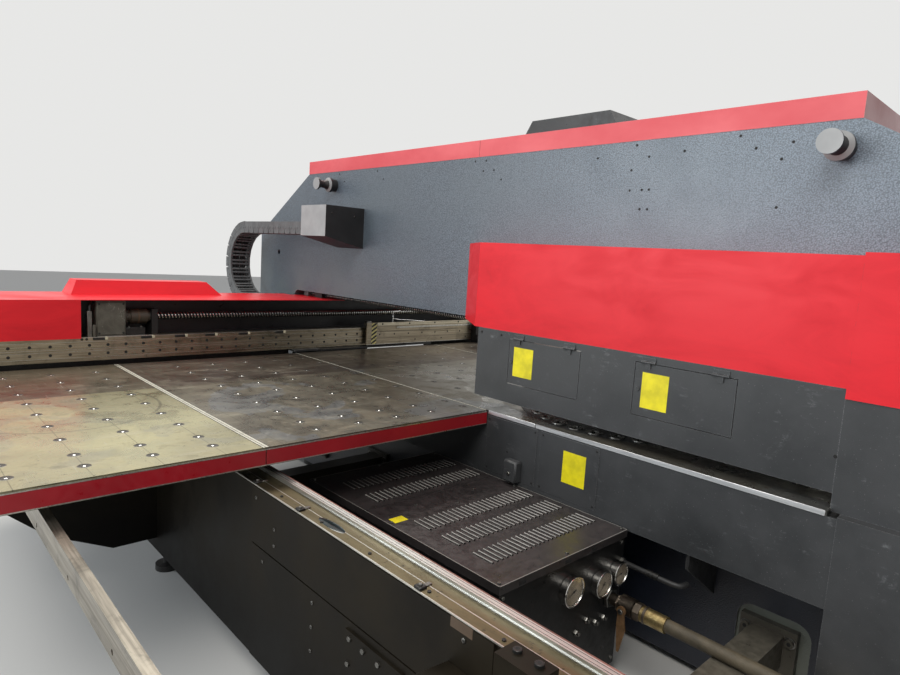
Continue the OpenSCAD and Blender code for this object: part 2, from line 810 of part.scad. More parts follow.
module upper_turret() color("#777a7d") {
    difference() {
        post(0, turret_y, upper_z, upper_z + upper_t, turret_r);
        for (i = [0:station_n - 1])
            station(i) post(0, 0, upper_z - cut, upper_z + upper_t + cut, 30 + seat);
    }
    post(0, turret_y, upper_z + upper_t, lip_z - 100, bearing_r - 20);
    post(0, turret_y, lip_z - 100, lip_z - 4, shaft_r);
    translate([0, turret_y, upper_chain_z]) linear_extrude(chain_t) sprocket(wheel_r, 52);
}

module lower_turret() color("#777a7d") {
    difference() {
        post(0, turret_y, lower_z0, lower_z1, turret_r);
        for (i = [0:station_n - 1])
            station(i) {
                post(0, 0, lower_z1 - 56, lower_z1 + cut, 37 + seat);
                post(0, 0, lower_z0 - cut, lower_z1, 28);
            }
    }
    post(0, turret_y, lower_chain_z - 10, lower_z0, bearing_r - 20);
    post(0, turret_y, lower_top + 24, lower_chain_z - 10, shaft_r);
    translate([0, turret_y, lower_chain_z]) linear_extrude(chain_t) sprocket(wheel_r, 52);
}

// Punch in its guide, with a spring collar and a head
module punch()
    rotate_extrude()
        polygon([
            [0, 3], [26, 3], [30, 8], [30, upper_t], [36, upper_t], [36, upper_t + 12],
            [22, upper_t + 16], [22, 176], [33, 180], [33, 192], [0, 192]]);

module punches() color("#a0a3a6")
    for (i = [0:station_n - 1])
        station(i) translate([0, 0, upper_z]) punch();

module dies() color("#a0a3a6")
    for (i = [0:station_n - 1])
        station(i)
            difference() {
                post(0, 0, lower_z1 - 56, lower_z1 + 2, 37);
                post(0, 0, lower_z1 - 57, lower_z1 + 3, 18);
            }

// Anvil under the working station, with the slug tube
module die_anvil() color("#54585c")
    difference() {
        union() {
            post(0, punch_y, lower_top, lower_z0 - 3, ram_r);
            post(0, punch_y, lower_top - slug_l, lower_top, slug_r);
        }
        post(0, punch_y, lower_top - slug_l - cut, lower_z0, slug_r - 10);
    }

module turret_bearings() color("#54585c") {
    difference() {
        post(0, turret_y, lip_z - 95, lip_z, bearing_r);
        post(0, turret_y, lip_z - 96, lip_z - 2, shaft_r + fit);
    }
    difference() {
        post(0, turret_y, lower_top, lower_chain_z - 12, bearing_r);
        post(0, turret_y, lower_top + 20, lower_chain_z - 11, shaft_r + fit);
    }
    // Upper bearing of the drive shaft
    difference() {
        post(0, drive_y, lip_z - 60, lip_z, 80);
        post(0, drive_y, lip_z - 61, lip_z - 10, drive_r + fit);
    }
}

module drive_shaft() color("silver") {
    post(0, drive_y, lower_top + 30, lip_z - 12, drive_r);
    for (z = [upper_chain_z, lower_chain_z])
        translate([0, drive_y, z]) linear_extrude(chain_t) sprocket(pinion_r, 22);
}

// Gearbox on the lower beam, with its motor to one side
module turret_gearmotor() color("#4d5a66") {
    difference() {
        bx(-110, 110, drive_y - 110, drive_y + 110, lower_top, lower_chain_z - 20);
        post(0, drive_y, lower_top + 25, lower_chain_z, drive_r + fit);
    }
    rod_x(110, 470, drive_y, lower_top + 90, 75);
}

// Tangent loop round the two sprockets
module loop_outline(extra) {
    big = wheel_r + extra;
    small = pinion_r + extra;
    span = turret_y - drive_y;
    lean = asin((big - small) / span);
    translate([0, turret_y]) circle(big);
    translate([0, drive_y]) circle(small);
    polygon([
        [big * cos(lean), turret_y - big * sin(lean)],
        [small * cos(lean), drive_y - small * sin(lean)],
        [-small * cos(lean), drive_y - small * sin(lean)],
        [-big * cos(lean), turret_y - big * sin(lean)]]);
}

module turret_chains() color("#3a3a3a")
    for (z = [upper_chain_z, lower_chain_z])
        translate([0, 0, z + 3]) linear_extrude(chain_t - 6)
            difference() {
                loop_outline(13);
                loop_outline(0.5);
            }

// Cable chain and the box that it starts from

module chain_box() color("#8d8f90")
    difference() {
        along_y(box_y0, box_y1 - box_y0)
            polygon([[-half_w, 1684], [-half_w, box_z1], [-box_x1, box_z1], [-box_x1, 1750]]);
        along_y(box_y0 + 3, box_y1 - box_y0)
            polygon([
                [-half_w - 3, 1692], [-half_w - 3, box_z1 - 3],
                [-box_x1 + 3, box_z1 - 3], [-box_x1 + 3, 1756]]);
    }

// One link: two side plates and two cross bars
module chain_link() {
    outline = [
        [-link_p / 2 + 0.3, 0], [-link_p / 2 + 6, -link_h / 2], [link_p / 2 - 6, -link_h / 2],
        [link_p / 2 - 0.3, 0], [link_p / 2 - 0.6, link_h / 2], [-link_p / 2 + 0.6, link_h / 2]];
    for (x = [-chain_x1, -chain_x0 - 14])
        along_x(x, 14) polygon(outline);
    for (z = [-link_h / 2, link_h / 2 - 9])
        bx(-chain_x1 + 14, -chain_x0 - 14, -17, 17, z, z + 9);
}

top_links = 12;
low_links = 2;

module cable_chain() color("#5f6263") {
    for (i = [0:top_links - 1])
        translate([0, bend_y - (i + 0.5) * link_p, chain_mid]) chain_link();
    for (i = [0:bend_n - 1])
        translate([0, bend_y, bend_z]) rotate([-(i + 0.5) * 180 / bend_n, 0, 0])
            translate([0, 0, bend_r]) chain_link();
    for (i = [0:low_links - 1])
        translate([0, bend_y - (i + 0.5) * link_p, bend_z - bend_r]) rotate([180, 0, 0])
            chain_link();
    // End bracket on the back of the carriage base
    bx(-chain_x1, -chain_x0, outer_back, bend_y - low_links * link_p - 0.3,
        bend_z - bend_r - 30, bend_z - bend_r + 30);
}

// Carriage base: a box beam across the machine, moved along Y by the Y screw

module carriage_base() color("#3b3a38") {
    hollow(-base_half, base_half, bar_back, base_back, bar_z0, bar_z1 - 6, 16);
    hollow(-bay_x, bay_x, wall_y, base_back, bar_z1 - 6, cover_z - 4, 16);
    both()
        hollow(half_w + 40, base_half, base_back, outer_back, bar_z0, cover_z - 4, 16);
    // Dark plate under the front of the bar, over the centre table
    bx(-425, 354, face_y - 8, bar_back + 40, table_z + 3, table_z + 13);
    bx(-425, 354, bar_y + 20, bar_back + 40, table_z + 13, bar_z0);
    // Bracket of the Y nut
    difference() {
        bx(-y_screw_x - 40, -y_screw_x + 40, y_nut_y - 50, y_nut_y + 50, cover_z - 4, lip_z - 2);
        rod_y(y_nut_y - 51, y_nut_y + 51, -y_screw_x, y_screw_z, y_screw_r + seat);
    }
}

hump_x1 = bay_x - 24;
hump_x0 = hump_x1 - 922;

module carriage_covers() color("#c8262e") {
    // Top sheet over the screw bay
    difference() {
        bx(-bay_x, bay_x, bar_y + 10, base_back, cover_z - 4, cover_z);
        bx(-y_screw_x - 42, -y_screw_x + 42, y_nut_y - 52, y_nut_y + 52, cover_z - 5, cover_z + cut);
    }
    both()
        bx(half_w + 40, base_half, base_back, outer_back, cover_z - 4, cover_z);
    // End boxes
    both()
        difference() {
            bx(bay_x, base_half, bar_y + 4, base_back, bar_z1 - 6, cover_z);
            bx(bay_x + 4, base_half - 4, bar_y + 8, base_back - 4, bar_z1 - 6 - cut, cover_z - 4);
            bx(bay_x - cut, base_half + cut, bar_y + rail_d, bar_back, bar_z1 - 6 - cut, bar_z1);
        }
    // Sloped hump over the X motor
    difference() {
        hump(0);
        hump(sheet_t);
    }
}

hump_h = 87;
hump_y0 = outer_back - 230;

// Hump with sloped sides, lying across the seam of the top sheets
module hump(t)
    intersection() {
        along_x(-hump_x1 + t, hump_x1 - hump_x0 - 2 * t)
            polygon([
                [hump_y0 + 1.3 * t, cover_z - (t > 0 ? cut : 0)],
                [hump_y0 + 45 + t, cover_z + hump_h - t],
                [outer_back - 25 - t, cover_z + hump_h - t],
                [outer_back - 1.3 * t, cover_z - (t > 0 ? cut : 0)]]);
        along_y(hump_y0 - cut, outer_back - hump_y0 + 2 * cut)
            polygon([
                [-hump_x1 + 1.3 * t, cover_z - cut], [-hump_x1 + 40 + t, cover_z + hump_h],
                [-hump_x0 - 90 - t, cover_z + hump_h], [-hump_x0 - 1.3 * t, cover_z - cut]]);
    }

// Machined bar along the front of the base, and its two ways
way_z = [bar_z0 + 24, bar_z0 + 71];
way_h = [35, 41];

module x_guide_bar() color("#8a8171") {
    bx(-base_half, base_half, bar_y + rail_d, bar_back, bar_z0, bar_z1);
    for (i = [0, 1])
        bx(-base_half, base_half, bar_y, bar_y + rail_d, way_z[i], way_z[i] + way_h[i]);
}

// X servo motor, coupling and bearing blocks in the screw bay
module x_servo_drive() color("#55585a") {
    bx(-x_motor_x, -x_motor_x + 156, x_screw_y - 75, x_screw_y + 75, bar_z1, cover_z - 10);
    bx(-x_motor_x, -x_motor_x + 156, bar_back, x_screw_y + 75, bar_z1 - 6, bar_z1);
    rod_x(-x_motor_x + 156, -x_motor_x + 310, x_screw_y, x_screw_z, 36);
    bx(-x_motor_x + 310, -x_motor_x + 345, x_screw_y - 50, x_screw_y + 50,
        bar_z1 - 6, x_screw_z + 45);
    difference() {
        bx(x_motor_x - 380, x_motor_x - 320, x_screw_y - 50, x_screw_y + 50,
            bar_z1 - 6, x_screw_z + 45);
        rod_x(x_motor_x - 381, x_motor_x - 319, x_screw_y, x_screw_z, x_screw_r + fit);
    }
}

module x_ball_screw() color("silver")
    rod_x(-x_motor_x + 345, x_motor_x - 310, x_screw_y, x_screw_z, x_screw_r);

// Side tables: plates on flanged frames, which move with the carriage base

module table_panel(x0, x1, cols) {
    z0 = table_z - edge_h;
    under = table_z - table_t;
    difference() {
        union() {
            bx(x0, x1, table_front, table_rear, under, table_z);
            difference() {
                bx(x0, x1, table_front, table_rear, z0, under);
                bx(x0 + 8, x1 - 8, table_front + 8, table_rear - 8, z0 - cut, under + cut);
            }
            for (k = [1:3])
                bx(x0 + 4, x1 - 4, table_front + k * table_l / 4 - 90, table_front + k * table_l / 4 - 82,
                    z0 + 15, under);
        }
        ball_holes(cols, all_rows, 1);
    }
}

module side_table() {
    table_panel(side_x0, side_x1 - 1, inner_cols);
    table_panel(side_x1 + 1, side_x2, outer_cols);
}

module side_table_left() color("#8f8c82") mirror([1, 0, 0]) side_table();
module side_table_right() color("#8f8c82") side_table();

// Red bands along the front edges of the side tables
module table_trims() color("#9c1c24")
    both()
        for (span = [[side_x0, side_x1 - 2], [side_x1 + 2, side_x2]])
            bx(-span[1], -span[0], table_front - 4, table_front, table_z - edge_h + 6, table_z - 9);

module side_balls() color("silver")
    for (side = [-1, 1])
        ball_set(concat(inner_cols, outer_cols), all_rows, side);

// Saddles and bearing blocks that run on the guide rails, and shoes on the outer rails
module rail_block(y)
    difference() {
        bx(-guide_x - 34, -guide_x + 34, y - 60, y + 60, guide_z + 8, table_z - edge_h);
        bx(-guide_x - 12 - seat, -guide_x + 12 + seat, y - 61, y + 61, guide_z, rail_top + seat);
    }

saddle_ys = [for (k = [1365, 725, 125]) table_rear - k];

module guide_saddles() color("#4b4d4e")
    both() {
        for (y = saddle_ys)
            rail_block(y);
        for (y = [bar_back + 60, base_back - 80]) {
            rail_block(y);
            bx(-guide_x - 80, -guide_x + 60, y - 60, y + 60, table_z - edge_h, bar_z0);
        }
        // Arms that tie the tables to the carriage base
        for (x = [-guide_x + 240, -guide_x - 320])
            bx(x, x + 60, table_rear - 300, base_back - 40, table_z - edge_h - 60, table_z - edge_h);
        for (x = [-guide_x + 240, -guide_x - 320])
            bx(x, x + 60, bar_back + 20, base_back - 40, table_z - edge_h, bar_z0);
        for (y = saddle_ys)
            bx(-outer_x - 20, -outer_x + 20, y - 70, y + 70, outer_top + seat, table_z - edge_h);
        // Closing plate under the guide bar
        bx(-base_half, -side_x0, bar_back - 10, bar_back + 1, table_z - edge_h - 5, bar_z0 - seat);
    }

// Sheet carriage along the bar, with its nut bracket
slide_x1 = slide_x0 + slide_l;

module sheet_carriage() color("#9b937f") {
    bx(slide_x0, slide_x1, face_y, face_y + 10, bar_z0 + 5, bar_z1 + 40);
    bx(slide_x0, slide_x1, face_y, bar_y + 1, bar_z1 + 20, bar_z1 + 40);
    // Bearing blocks on the two ways
    for (x = [slide_x0 + 160, x_nut - 100, slide_x1 - 360], i = [0, 1])
        bx(x, x + 200, face_y + 10, bar_y - seat, way_z[i] + 2, way_z[i] + way_h[i] - 2);
    // Bracket over the bar to the nut
    bx(x_nut - 60, x_nut + 60, bar_y + 1, x_screw_y - 40, bar_z1 + 20, bar_z1 + 40);
    difference() {
        bx(x_nut - 50, x_nut + 50, x_screw_y - 46, x_screw_y + 46, bar_z1 + 20, x_screw_z + 48);
        rod_x(x_nut - 51, x_nut + 51, x_screw_y, x_screw_z, x_screw_r + seat);
    }
}

// Work clamps: a body with the lower jaw, and a hinged upper jaw
clamp_w = 110;
jaw_pin_r = 8;

module clamp_body(x)
    difference() {
        union() {
            bx(x - clamp_w / 2, x + clamp_w / 2, jaw_y - 10, face_y, table_z + 4, bar_z1 + 20);
            for (dx = [-clamp_w / 2, clamp_w / 2 - 22])
                bx(x + dx, x + dx + 22, jaw_y - 30, jaw_y - 10, table_z + 4, jaw_z + 25);
            bx(x - clamp_w / 2, x + clamp_w / 2, jaw_y - 75, jaw_y - 10, table_z + 4, table_z + 11);
        }
        bx(x - clamp_w / 2 + 22, x + clamp_w / 2 - 22, jaw_y - 31, jaw_y + 16,
            table_z + 11, jaw_z + 32);
        // Step that runs over the dark plate of the carriage base
        bx(x - clamp_w, x + clamp_w, face_y - 10, face_y + cut, table_z + 4 - cut, table_z + 15);
        rod_x(x - clamp_w, x + clamp_w, jaw_y - 14, jaw_z, jaw_pin_r + fit);
    }

module clamp_bodies() color("#44464a")
    for (x = [clamp_mid - clamp_gap / 2, clamp_mid + clamp_gap / 2])
        clamp_body(x);

module clamp_jaw(x) {
    half = clamp_w / 2 - 22 - seat;
    bx(x - half, x + half, jaw_y - 74, jaw_y - 5, table_z + 13, jaw_z - 5);
    rod_x(x - half, x + half, jaw_y - 14, jaw_z, 15);
    rod_x(x - clamp_w / 2, x + clamp_w / 2, jaw_y - 14, jaw_z, jaw_pin_r);
}

module clamp_jaw_left() color("#6a6d70") clamp_jaw(clamp_mid - clamp_gap / 2);
module clamp_jaw_right() color("#6a6d70") clamp_jaw(clamp_mid + clamp_gap / 2);

bridge_frame();
frame_caps();
top_hood();
lifting_trunnions();
turret_cover_left();
turret_cover_right();
access_cover_left();
access_cover_right();
door_left_front();
door_left_rear();
door_right_front();
door_right_rear();
end_cover();
end_cabinet();
centre_table();
table_frame();
centre_balls();
skirts();
guide_beams();
guide_rails();
guide_panels();
outer_rails();
cross_beams();
levelling_feet();
hydraulic_tank();
hydraulic_lid();
pump_motor();
pressure_gauges();
ball_valve();
valve_lever();
hydraulic_hose();
y_screw_drive();
y_ball_screw();
ram_cylinder();
striker();
turret_bearings();
turret_gearmotor();
drive_shaft();
turret_chains();
upper_turret();
punches();
lower_turret();
dies();
die_anvil();
chain_box();
cable_chain();
carriage_base();
carriage_covers();
x_guide_bar();
x_servo_drive();
x_ball_screw();
side_table_left();
side_table_right();
table_trims();
side_balls();
guide_saddles();
sheet_carriage();
clamp_bodies();
clamp_jaw_left();
clamp_jaw_right();
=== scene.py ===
"""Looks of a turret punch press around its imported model: finishes, small fittings, light and camera.

Every place is in the part's own frame. Fittings are in millimetres, finishes and lights in metres.
"""
import math

import bmesh
import bpy
from mathutils import Matrix, Vector


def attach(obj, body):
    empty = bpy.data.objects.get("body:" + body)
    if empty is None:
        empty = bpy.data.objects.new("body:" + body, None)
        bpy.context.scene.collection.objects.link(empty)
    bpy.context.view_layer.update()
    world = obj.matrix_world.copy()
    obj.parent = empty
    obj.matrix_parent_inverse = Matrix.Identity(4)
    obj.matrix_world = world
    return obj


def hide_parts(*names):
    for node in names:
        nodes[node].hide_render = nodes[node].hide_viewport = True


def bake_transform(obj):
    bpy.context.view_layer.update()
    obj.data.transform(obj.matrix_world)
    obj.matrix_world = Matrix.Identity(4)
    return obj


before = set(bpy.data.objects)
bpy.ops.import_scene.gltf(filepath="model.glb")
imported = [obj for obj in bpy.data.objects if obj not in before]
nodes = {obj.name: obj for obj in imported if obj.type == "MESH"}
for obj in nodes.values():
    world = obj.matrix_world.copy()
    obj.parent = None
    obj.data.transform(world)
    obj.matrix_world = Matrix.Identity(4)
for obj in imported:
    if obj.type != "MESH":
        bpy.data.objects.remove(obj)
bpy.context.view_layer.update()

MM = 0.001


def box_of(name):
    """Lowest and highest corner of a node, in millimetres."""
    points = [nodes[name].matrix_world @ vertex.co / MM for vertex in nodes[name].data.vertices]
    return [[round(pick(point[axis] for point in points), 3) for axis in range(3)] for pick in (min, max)]


# Faces of the part that carry fittings
FRAME_SIDE = box_of("bridge_frame")[1][0]
COVER_SIDE = box_of("turret_cover_right")[1][0]
SKIRT_SIDE = box_of("skirts")[1][0]
TABLE_TOP = box_of("centre_table")[1][2]
TABLE_LOW, TABLE_HIGH = box_of("side_table_right")
BAR_FACE = box_of("x_guide_bar")[0][1]
BAR_END, _, BAR_TOP = box_of("x_guide_bar")[1]
SHEET_FACE = box_of("sheet_carriage")[0][1]
SHEET_END = box_of("sheet_carriage")[1][0]
LID_LOW, LID_HIGH = box_of("hydraulic_lid")
TANK_FRONT = box_of("hydraulic_tank")[0][1]
GUIDE_LOW, GUIDE_HIGH = box_of("guide_beams")
RAIL_SIDE, _, RAIL_TOP = box_of("guide_rails")[1]
PANEL_SIDE = box_of("guide_panels")[1][0]

# Ball rows of the tables: first row of the inner and outer plates, and pitch
INNER_ROW, OUTER_ROW, ROW_PITCH = 690, 1936, 205
# Joint between the inner and outer plates of the side tables
PLATE_JOINT = 1787


# Camera, solved from the photograph's edges

def make_camera():
    data = bpy.data.cameras.new("camera")
    data.sensor_width = 36.0
    data.lens = 25.36
    data.clip_start = 0.05
    data.clip_end = 200.0
    camera = bpy.data.objects.new("camera", data)
    bpy.context.scene.collection.objects.link(camera)
    forward = Vector((0.6797, 0.7229, -0.1242)).normalized()
    right = forward.cross(Vector((0.0398, 0.1328, 0.9904))).normalized()
    up = right.cross(forward)
    turn = Matrix((right, up, -forward)).transposed()
    camera.matrix_world = Matrix.Translation((-2.844, -2.473, 1.660)) @ turn.to_4x4()
    bpy.context.scene.camera = camera


make_camera()


# Shader writing

class Shader:
    """Node tree of a material or a world."""

    def __init__(self, owner):
        owner.use_nodes = True
        self.tree = owner.node_tree
        self.tree.nodes.clear()

    def feed(self, value, socket):
        if isinstance(value, bpy.types.NodeSocket):
            self.tree.links.new(value, socket)
            return
        if socket.type == "RGBA" and len(value) == 3:
            value = (*value, 1.0)
        socket.default_value = value

    def node(self, kind, inputs, out=0, **settings):
        """Adds a node with inputs by name or number, and gives back one of its outputs."""
        made = self.tree.nodes.new("ShaderNode" + kind)
        for key, value in settings.items():
            setattr(made, key, value)
        for key, value in inputs.items():
            self.feed(value, made.inputs[key])
        return made.outputs[out] if made.outputs else None

    def math(self, operation, a, b=0.0):
        return self.node("Math", {0: a, 1: b}, operation=operation)

    def times(self, a, b):
        return self.math("MULTIPLY", a, b)

    def plus(self, a, b):
        return self.math("ADD", a, b)


class Look(Shader):
    """One material. Methods give back the socket of their result; color is the colour so far."""

    def __init__(self, name, color=None):
        self.mat = bpy.data.materials.new(name)
        super().__init__(self.mat)
        self.coords = self.node("TexCoord", {}, "Object")
        self.normal = self.node("NewGeometry", {}, "Normal")
        self.color = color

    def noise(self, scale, detail=3.0, rough=0.5, stretch=None, warp=0.0):
        vector = self.coords
        if stretch:
            vector = self.node("Mapping", {"Vector": vector, "Scale": stretch})
        return self.node("TexNoise", {"Vector": vector, "Scale": scale, "Detail": detail,
                                      "Roughness": rough, "Distortion": warp})

    def cells(self, scale):
        return self.node("TexVoronoi", {"Vector": self.coords, "Scale": scale})

    def span(self, value, low, high, to_low=0.0, to_high=1.0):
        """Maps low..high of a value to to_low..to_high, held at both ends."""
        return self.node("MapRange", {"Value": value, "From Min": low, "From Max": high,
                                      "To Min": to_low, "To Max": to_high},
                         interpolation_type="SMOOTHSTEP")

    def above(self, value, edge, soft=0.0005):
        """1 where a value is past an edge, 0 before it."""
        return self.span(value, edge - soft, edge + soft)

    def below(self, value, edge, soft=0.0005):
        return self.span(value, edge - soft, edge + soft, 1.0, 0.0)

    def between(self, value, low, high, soft=0.0006):
        return self.times(self.above(value, low, soft), self.below(value, high, soft))

    def mix(self, share, a, b):
        """A colour between a and b."""
        return self.node("Mix", {0: share, 6: a, 7: b}, 2, data_type="RGBA")

    def blend(self, share, a, b):
        """A plain number between a and b."""
        return self.node("Mix", {0: share, 2: a, 3: b})

    def tones(self, value, a, b, low=0.3, high=0.7):
        """From colour a to colour b as a value runs from low to high."""
        return self.mix(self.span(value, low, high), a, b)

    def coat(self, share, tone, *amounts):
        """Lays a tone over the colour so far, by a share times the further amounts."""
        for amount in amounts:
            share = self.times(share, amount)
        self.color = self.mix(share, self.color, tone)

    def wear(self, tone, value, low, high, least, most, radius=0.003):
        """Lays a tone on the edges, by least to most as a value runs from low to high."""
        rounded = self.node("Bevel", {"Radius": radius}, samples=3)
        alike = self.node("VectorMath", {0: rounded, 1: self.normal}, "Value", operation="DOT_PRODUCT")
        edges = self.span(alike, 0.90, 0.995, 1.0, 0.0)
        self.coat(edges, tone, self.span(value, low, high, least, most))

    def place(self, axis):
        """X, Y or Z of the place in the part's frame."""
        return self.node("SeparateXYZ", {0: self.coords}, axis)

    def facing(self, axis):
        """X, Y or Z of the surface's direction."""
        return self.node("SeparateXYZ", {0: self.normal}, axis)

    def bump(self, height, distance, strength=0.5, normal=None):
        inputs = {"Height": height, "Distance": distance, "Strength": strength}
        if normal is not None:
            inputs["Normal"] = normal
        return self.node("Bump", inputs)

    def grain(self, scale, distance):
        return self.bump(self.noise(scale, 2.0), distance)

    def finish(self, rough, metal=0.0, normal=None, **others):
        """Closes the material with its colour so far. Others are named as the shader's sockets."""
        inputs = {"Base Color": self.color, "Roughness": rough, "Metallic": metal}
        if normal is not None:
            inputs["Normal"] = normal
        for key, value in others.items():
            inputs[key.replace("_", " ")] = value
        self.node("OutputMaterial", {0: self.node("BsdfPrincipled", inputs)})
        return self.mat


def tinted(color, factor):
    return tuple(factor * part for part in color)


def frame_paint():
    """Blue-grey hammered paint with a painted sheen towards the turret end, paler where hands and grease
    reach it, and painted shade low down.
    """
    look = Look("frame_paint")
    y, z = look.place("Y"), look.place("Z")
    speck = look.cells(185.0)
    cloud = look.noise(5.0, 4.0, 0.6)
    look.color = look.tones(speck, (0.15, 0.19, 0.238), (0.03, 0.04, 0.054), 0.1, 0.75)
    drift = look.noise(1.1, 4.0, 0.55)
    look.coat(look.span(drift, 0.35, 0.7, 0.0, 0.5), (0.085, 0.104, 0.122))
    # Painted sheen: paler bluish paint towards the turret end stands for light reflected off the paint.
    turret_end_sheen = look.span(y, -2.0, 0.4, 0.32, 0.0)
    look.coat(turret_end_sheen, look.mix(speck, (0.30, 0.38, 0.46), (0.12, 0.17, 0.22)))
    reach = look.times(look.span(z, 1.30, 1.75, 1.0, 0.0), look.span(y, 0.2, 1.5))
    look.coat(reach, (0.105, 0.13, 0.138), look.span(cloud, 0.3, 0.65), 0.9)
    # Painted shade: near-black paint on the frame below the level of the tables.
    low = look.span(z, 0.75, 0.95, 1.0, 0.0)
    look.coat(low, look.mix(cloud, (0.005, 0.007, 0.014), (0.012, 0.016, 0.028)))
    # Pocket in the foot at the turret end
    inset = look.between(look.math("ABSOLUTE", look.place("X")), 0.300, 0.359)
    pocket = look.times(inset, look.between(z, 0.128, 0.407))
    look.coat(pocket, look.mix(cloud, (0.10, 0.11, 0.09), (0.20, 0.215, 0.18)))
    look.wear((0.20, 0.21, 0.22), look.noise(60.0), 0.45, 0.6, 0.1, 0.7, 0.005)
    bumpy = look.bump(speck, 0.0012, 0.6)
    bumpy = look.bump(look.noise(14.0, 2.0), 0.0015, 0.25, bumpy)
    return look.finish(look.span(cloud, 0.2, 0.8, 0.30, 0.44), 0.0, bumpy, Specular_IOR_Level=0.85)


def red_paint():
    """Clean red paint with faint grime."""
    look = Look("red_paint")
    smear = look.noise(3.0, 5.0, 0.62, (1.0, 1.0, 2.4), 0.6)
    fine = look.noise(40.0, 4.0, 0.6)
    look.color = look.tones(smear, (0.74, 0.019, 0.03), (0.64, 0.015, 0.025), 0.35, 0.72)
    look.coat(look.span(smear, 0.58, 0.78), (0.22, 0.012, 0.014), look.span(fine, 0.45, 0.7), 0.22)
    look.wear((0.30, 0.05, 0.05), fine, 0.5, 0.62, 0.0, 0.7)
    return look.finish(look.span(smear, 0.3, 0.8, 0.3, 0.5), 0.0, look.grain(420.0, 0.00025),
                       Specular_IOR_Level=0.26)


def faded_red():
    """Red paint under dust: chalky on top, with painted shade on the ends."""
    look = Look("faded_red")
    smear = look.noise(2.4, 5.0, 0.6, (1.0, 0.5, 1.0))
    look.color = look.tones(smear, (0.72, 0.13, 0.145), (0.60, 0.07, 0.085))
    look.coat(look.span(look.facing("Z"), 0.5, 0.9, 0.0, 0.55), (0.46, 0.20, 0.18))
    # Painted shade: the ends, which face along Y, are darker.
    look.coat(look.span(look.math("ABSOLUTE", look.facing("Y")), 0.5, 0.8), (0.14, 0.024, 0.022), 0.85)
    look.wear((0.62, 0.30, 0.28), look.noise(50.0), 0.45, 0.6, 0.1, 0.7)
    return look.finish(look.span(smear, 0.3, 0.8, 0.42, 0.6), 0.0, look.grain(380.0, 0.00025))


def charcoal_paint():
    """Satin charcoal with pale rubbed marks and specks of dust."""
    look = Look("charcoal_paint")
    cloud = look.noise(2.2, 5.0, 0.6)
    look.color = look.tones(cloud, (0.027, 0.029, 0.031), (0.05, 0.052, 0.055))
    patch = look.span(look.noise(5.5, 6.0, 0.72, None, 1.2), 0.54, 0.70)
    streak = look.span(look.noise(26.0, 5.0, 0.7, (1.0, 0.35, 1.8), 0.8), 0.48, 0.66)
    rub = look.times(patch, streak)
    look.coat(rub, (0.23, 0.24, 0.25), 0.55)
    look.coat(look.span(look.noise(190.0, 1.0), 0.735, 0.76), (0.30, 0.30, 0.30), 0.25)
    look.wear((0.20, 0.205, 0.21), look.noise(240.0, 3.0, 0.6), 0.42, 0.6, 0.1, 0.8)
    rough = look.plus(look.span(cloud, 0.25, 0.75, 0.34, 0.48), look.times(rub, 0.15))
    return look.finish(rough, 0.0, look.bump(look.cells(620.0), 0.0003, 0.55), Specular_IOR_Level=0.42)


def dark_paint(name, color_a, color_b, dusty, shine=0.5):
    """Semi-gloss paint with a film of oily dust on top."""
    look = Look(name)
    fine = look.noise(34.0, 5.0, 0.65)
    look.color = look.tones(look.noise(3.0, 5.0, 0.6), color_a, color_b)
    dust = look.span(fine, 0.38, 0.66, 0.1, 0.6)
    look.coat(look.span(look.facing("Z"), 0.6, 0.95), tinted(color_b, dusty), dust)
    look.wear((0.15, 0.145, 0.14), fine, 0.42, 0.6, 0.05, 0.6)
    return look.finish(look.span(fine, 0.25, 0.8, 0.26, 0.52), 0.0, look.grain(320.0, 0.0003),
                       Specular_IOR_Level=shine)


def guide_paint():
    """Greasy black-brown beam; its ledge is bare brassy steel, with a dull pink strip inside the rail."""
    look = Look("guide_paint")
    side, z = look.math("ABSOLUTE", look.place("X")), look.place("Z")
    cloud = look.noise(4.0, 6.0, 0.62)
    streak = look.noise(9.0, 5.0, 0.65, (1.0, 0.25, 1.0))
    look.color = look.tones(cloud, (0.0075, 0.006, 0.004), (0.018, 0.0145, 0.0095))
    # Painted shade: the beam darkens towards the bottom, under the tables.
    look.coat(look.span(z, 0.15, 0.72, 0.85, 0.0), (0.002, 0.002, 0.002))
    top = look.times(look.span(look.facing("Z"), 0.6, 0.8), look.span(z, 0.798, 0.7995))
    ledge = look.times(top, look.above(side, RAIL_SIDE * MM))
    ledge = look.times(ledge, look.below(z, 0.813, 0.001))
    strip = look.times(top, look.below(side, 1.710))
    spots = look.span(look.noise(48.0, 4.0, 0.7), 0.60, 0.68)
    brassy = look.tones(streak, (0.205, 0.172, 0.10), (0.10, 0.082, 0.048))
    look.coat(ledge, look.mix(look.times(spots, 0.7), brassy, (0.045, 0.04, 0.03)))
    look.coat(strip, look.tones(streak, (0.30, 0.145, 0.12), (0.12, 0.06, 0.052), 0.35))
    rough = look.blend(ledge, look.span(cloud, 0.3, 0.8, 0.42, 0.60), look.span(streak, 0.3, 0.7, 0.28, 0.5))
    return look.finish(rough, look.times(ledge, 0.9), look.bump(look.noise(260.0), 0.0003),
                       Specular_IOR_Level=0.10)


def rail_finish():
    """Bright ground rail with a fine cross mark every 6 mm."""
    look = Look("rail_steel")
    along = look.noise(40.0, 3.0, 0.6, (1.0, 0.02, 1.0))
    look.color = look.tones(along, (0.80, 0.80, 0.77), (0.50, 0.50, 0.47))
    mark = look.span(look.math("SINE", look.times(look.place("Y"), 1047.0)), 0.0, 0.8, 0.0, 0.45)
    look.coat(mark, (0.22, 0.21, 0.19), look.span(look.noise(2.2), 0.42, 0.62))
    return look.finish(look.span(along, 0.3, 0.7, 0.30, 0.46), 0.9)


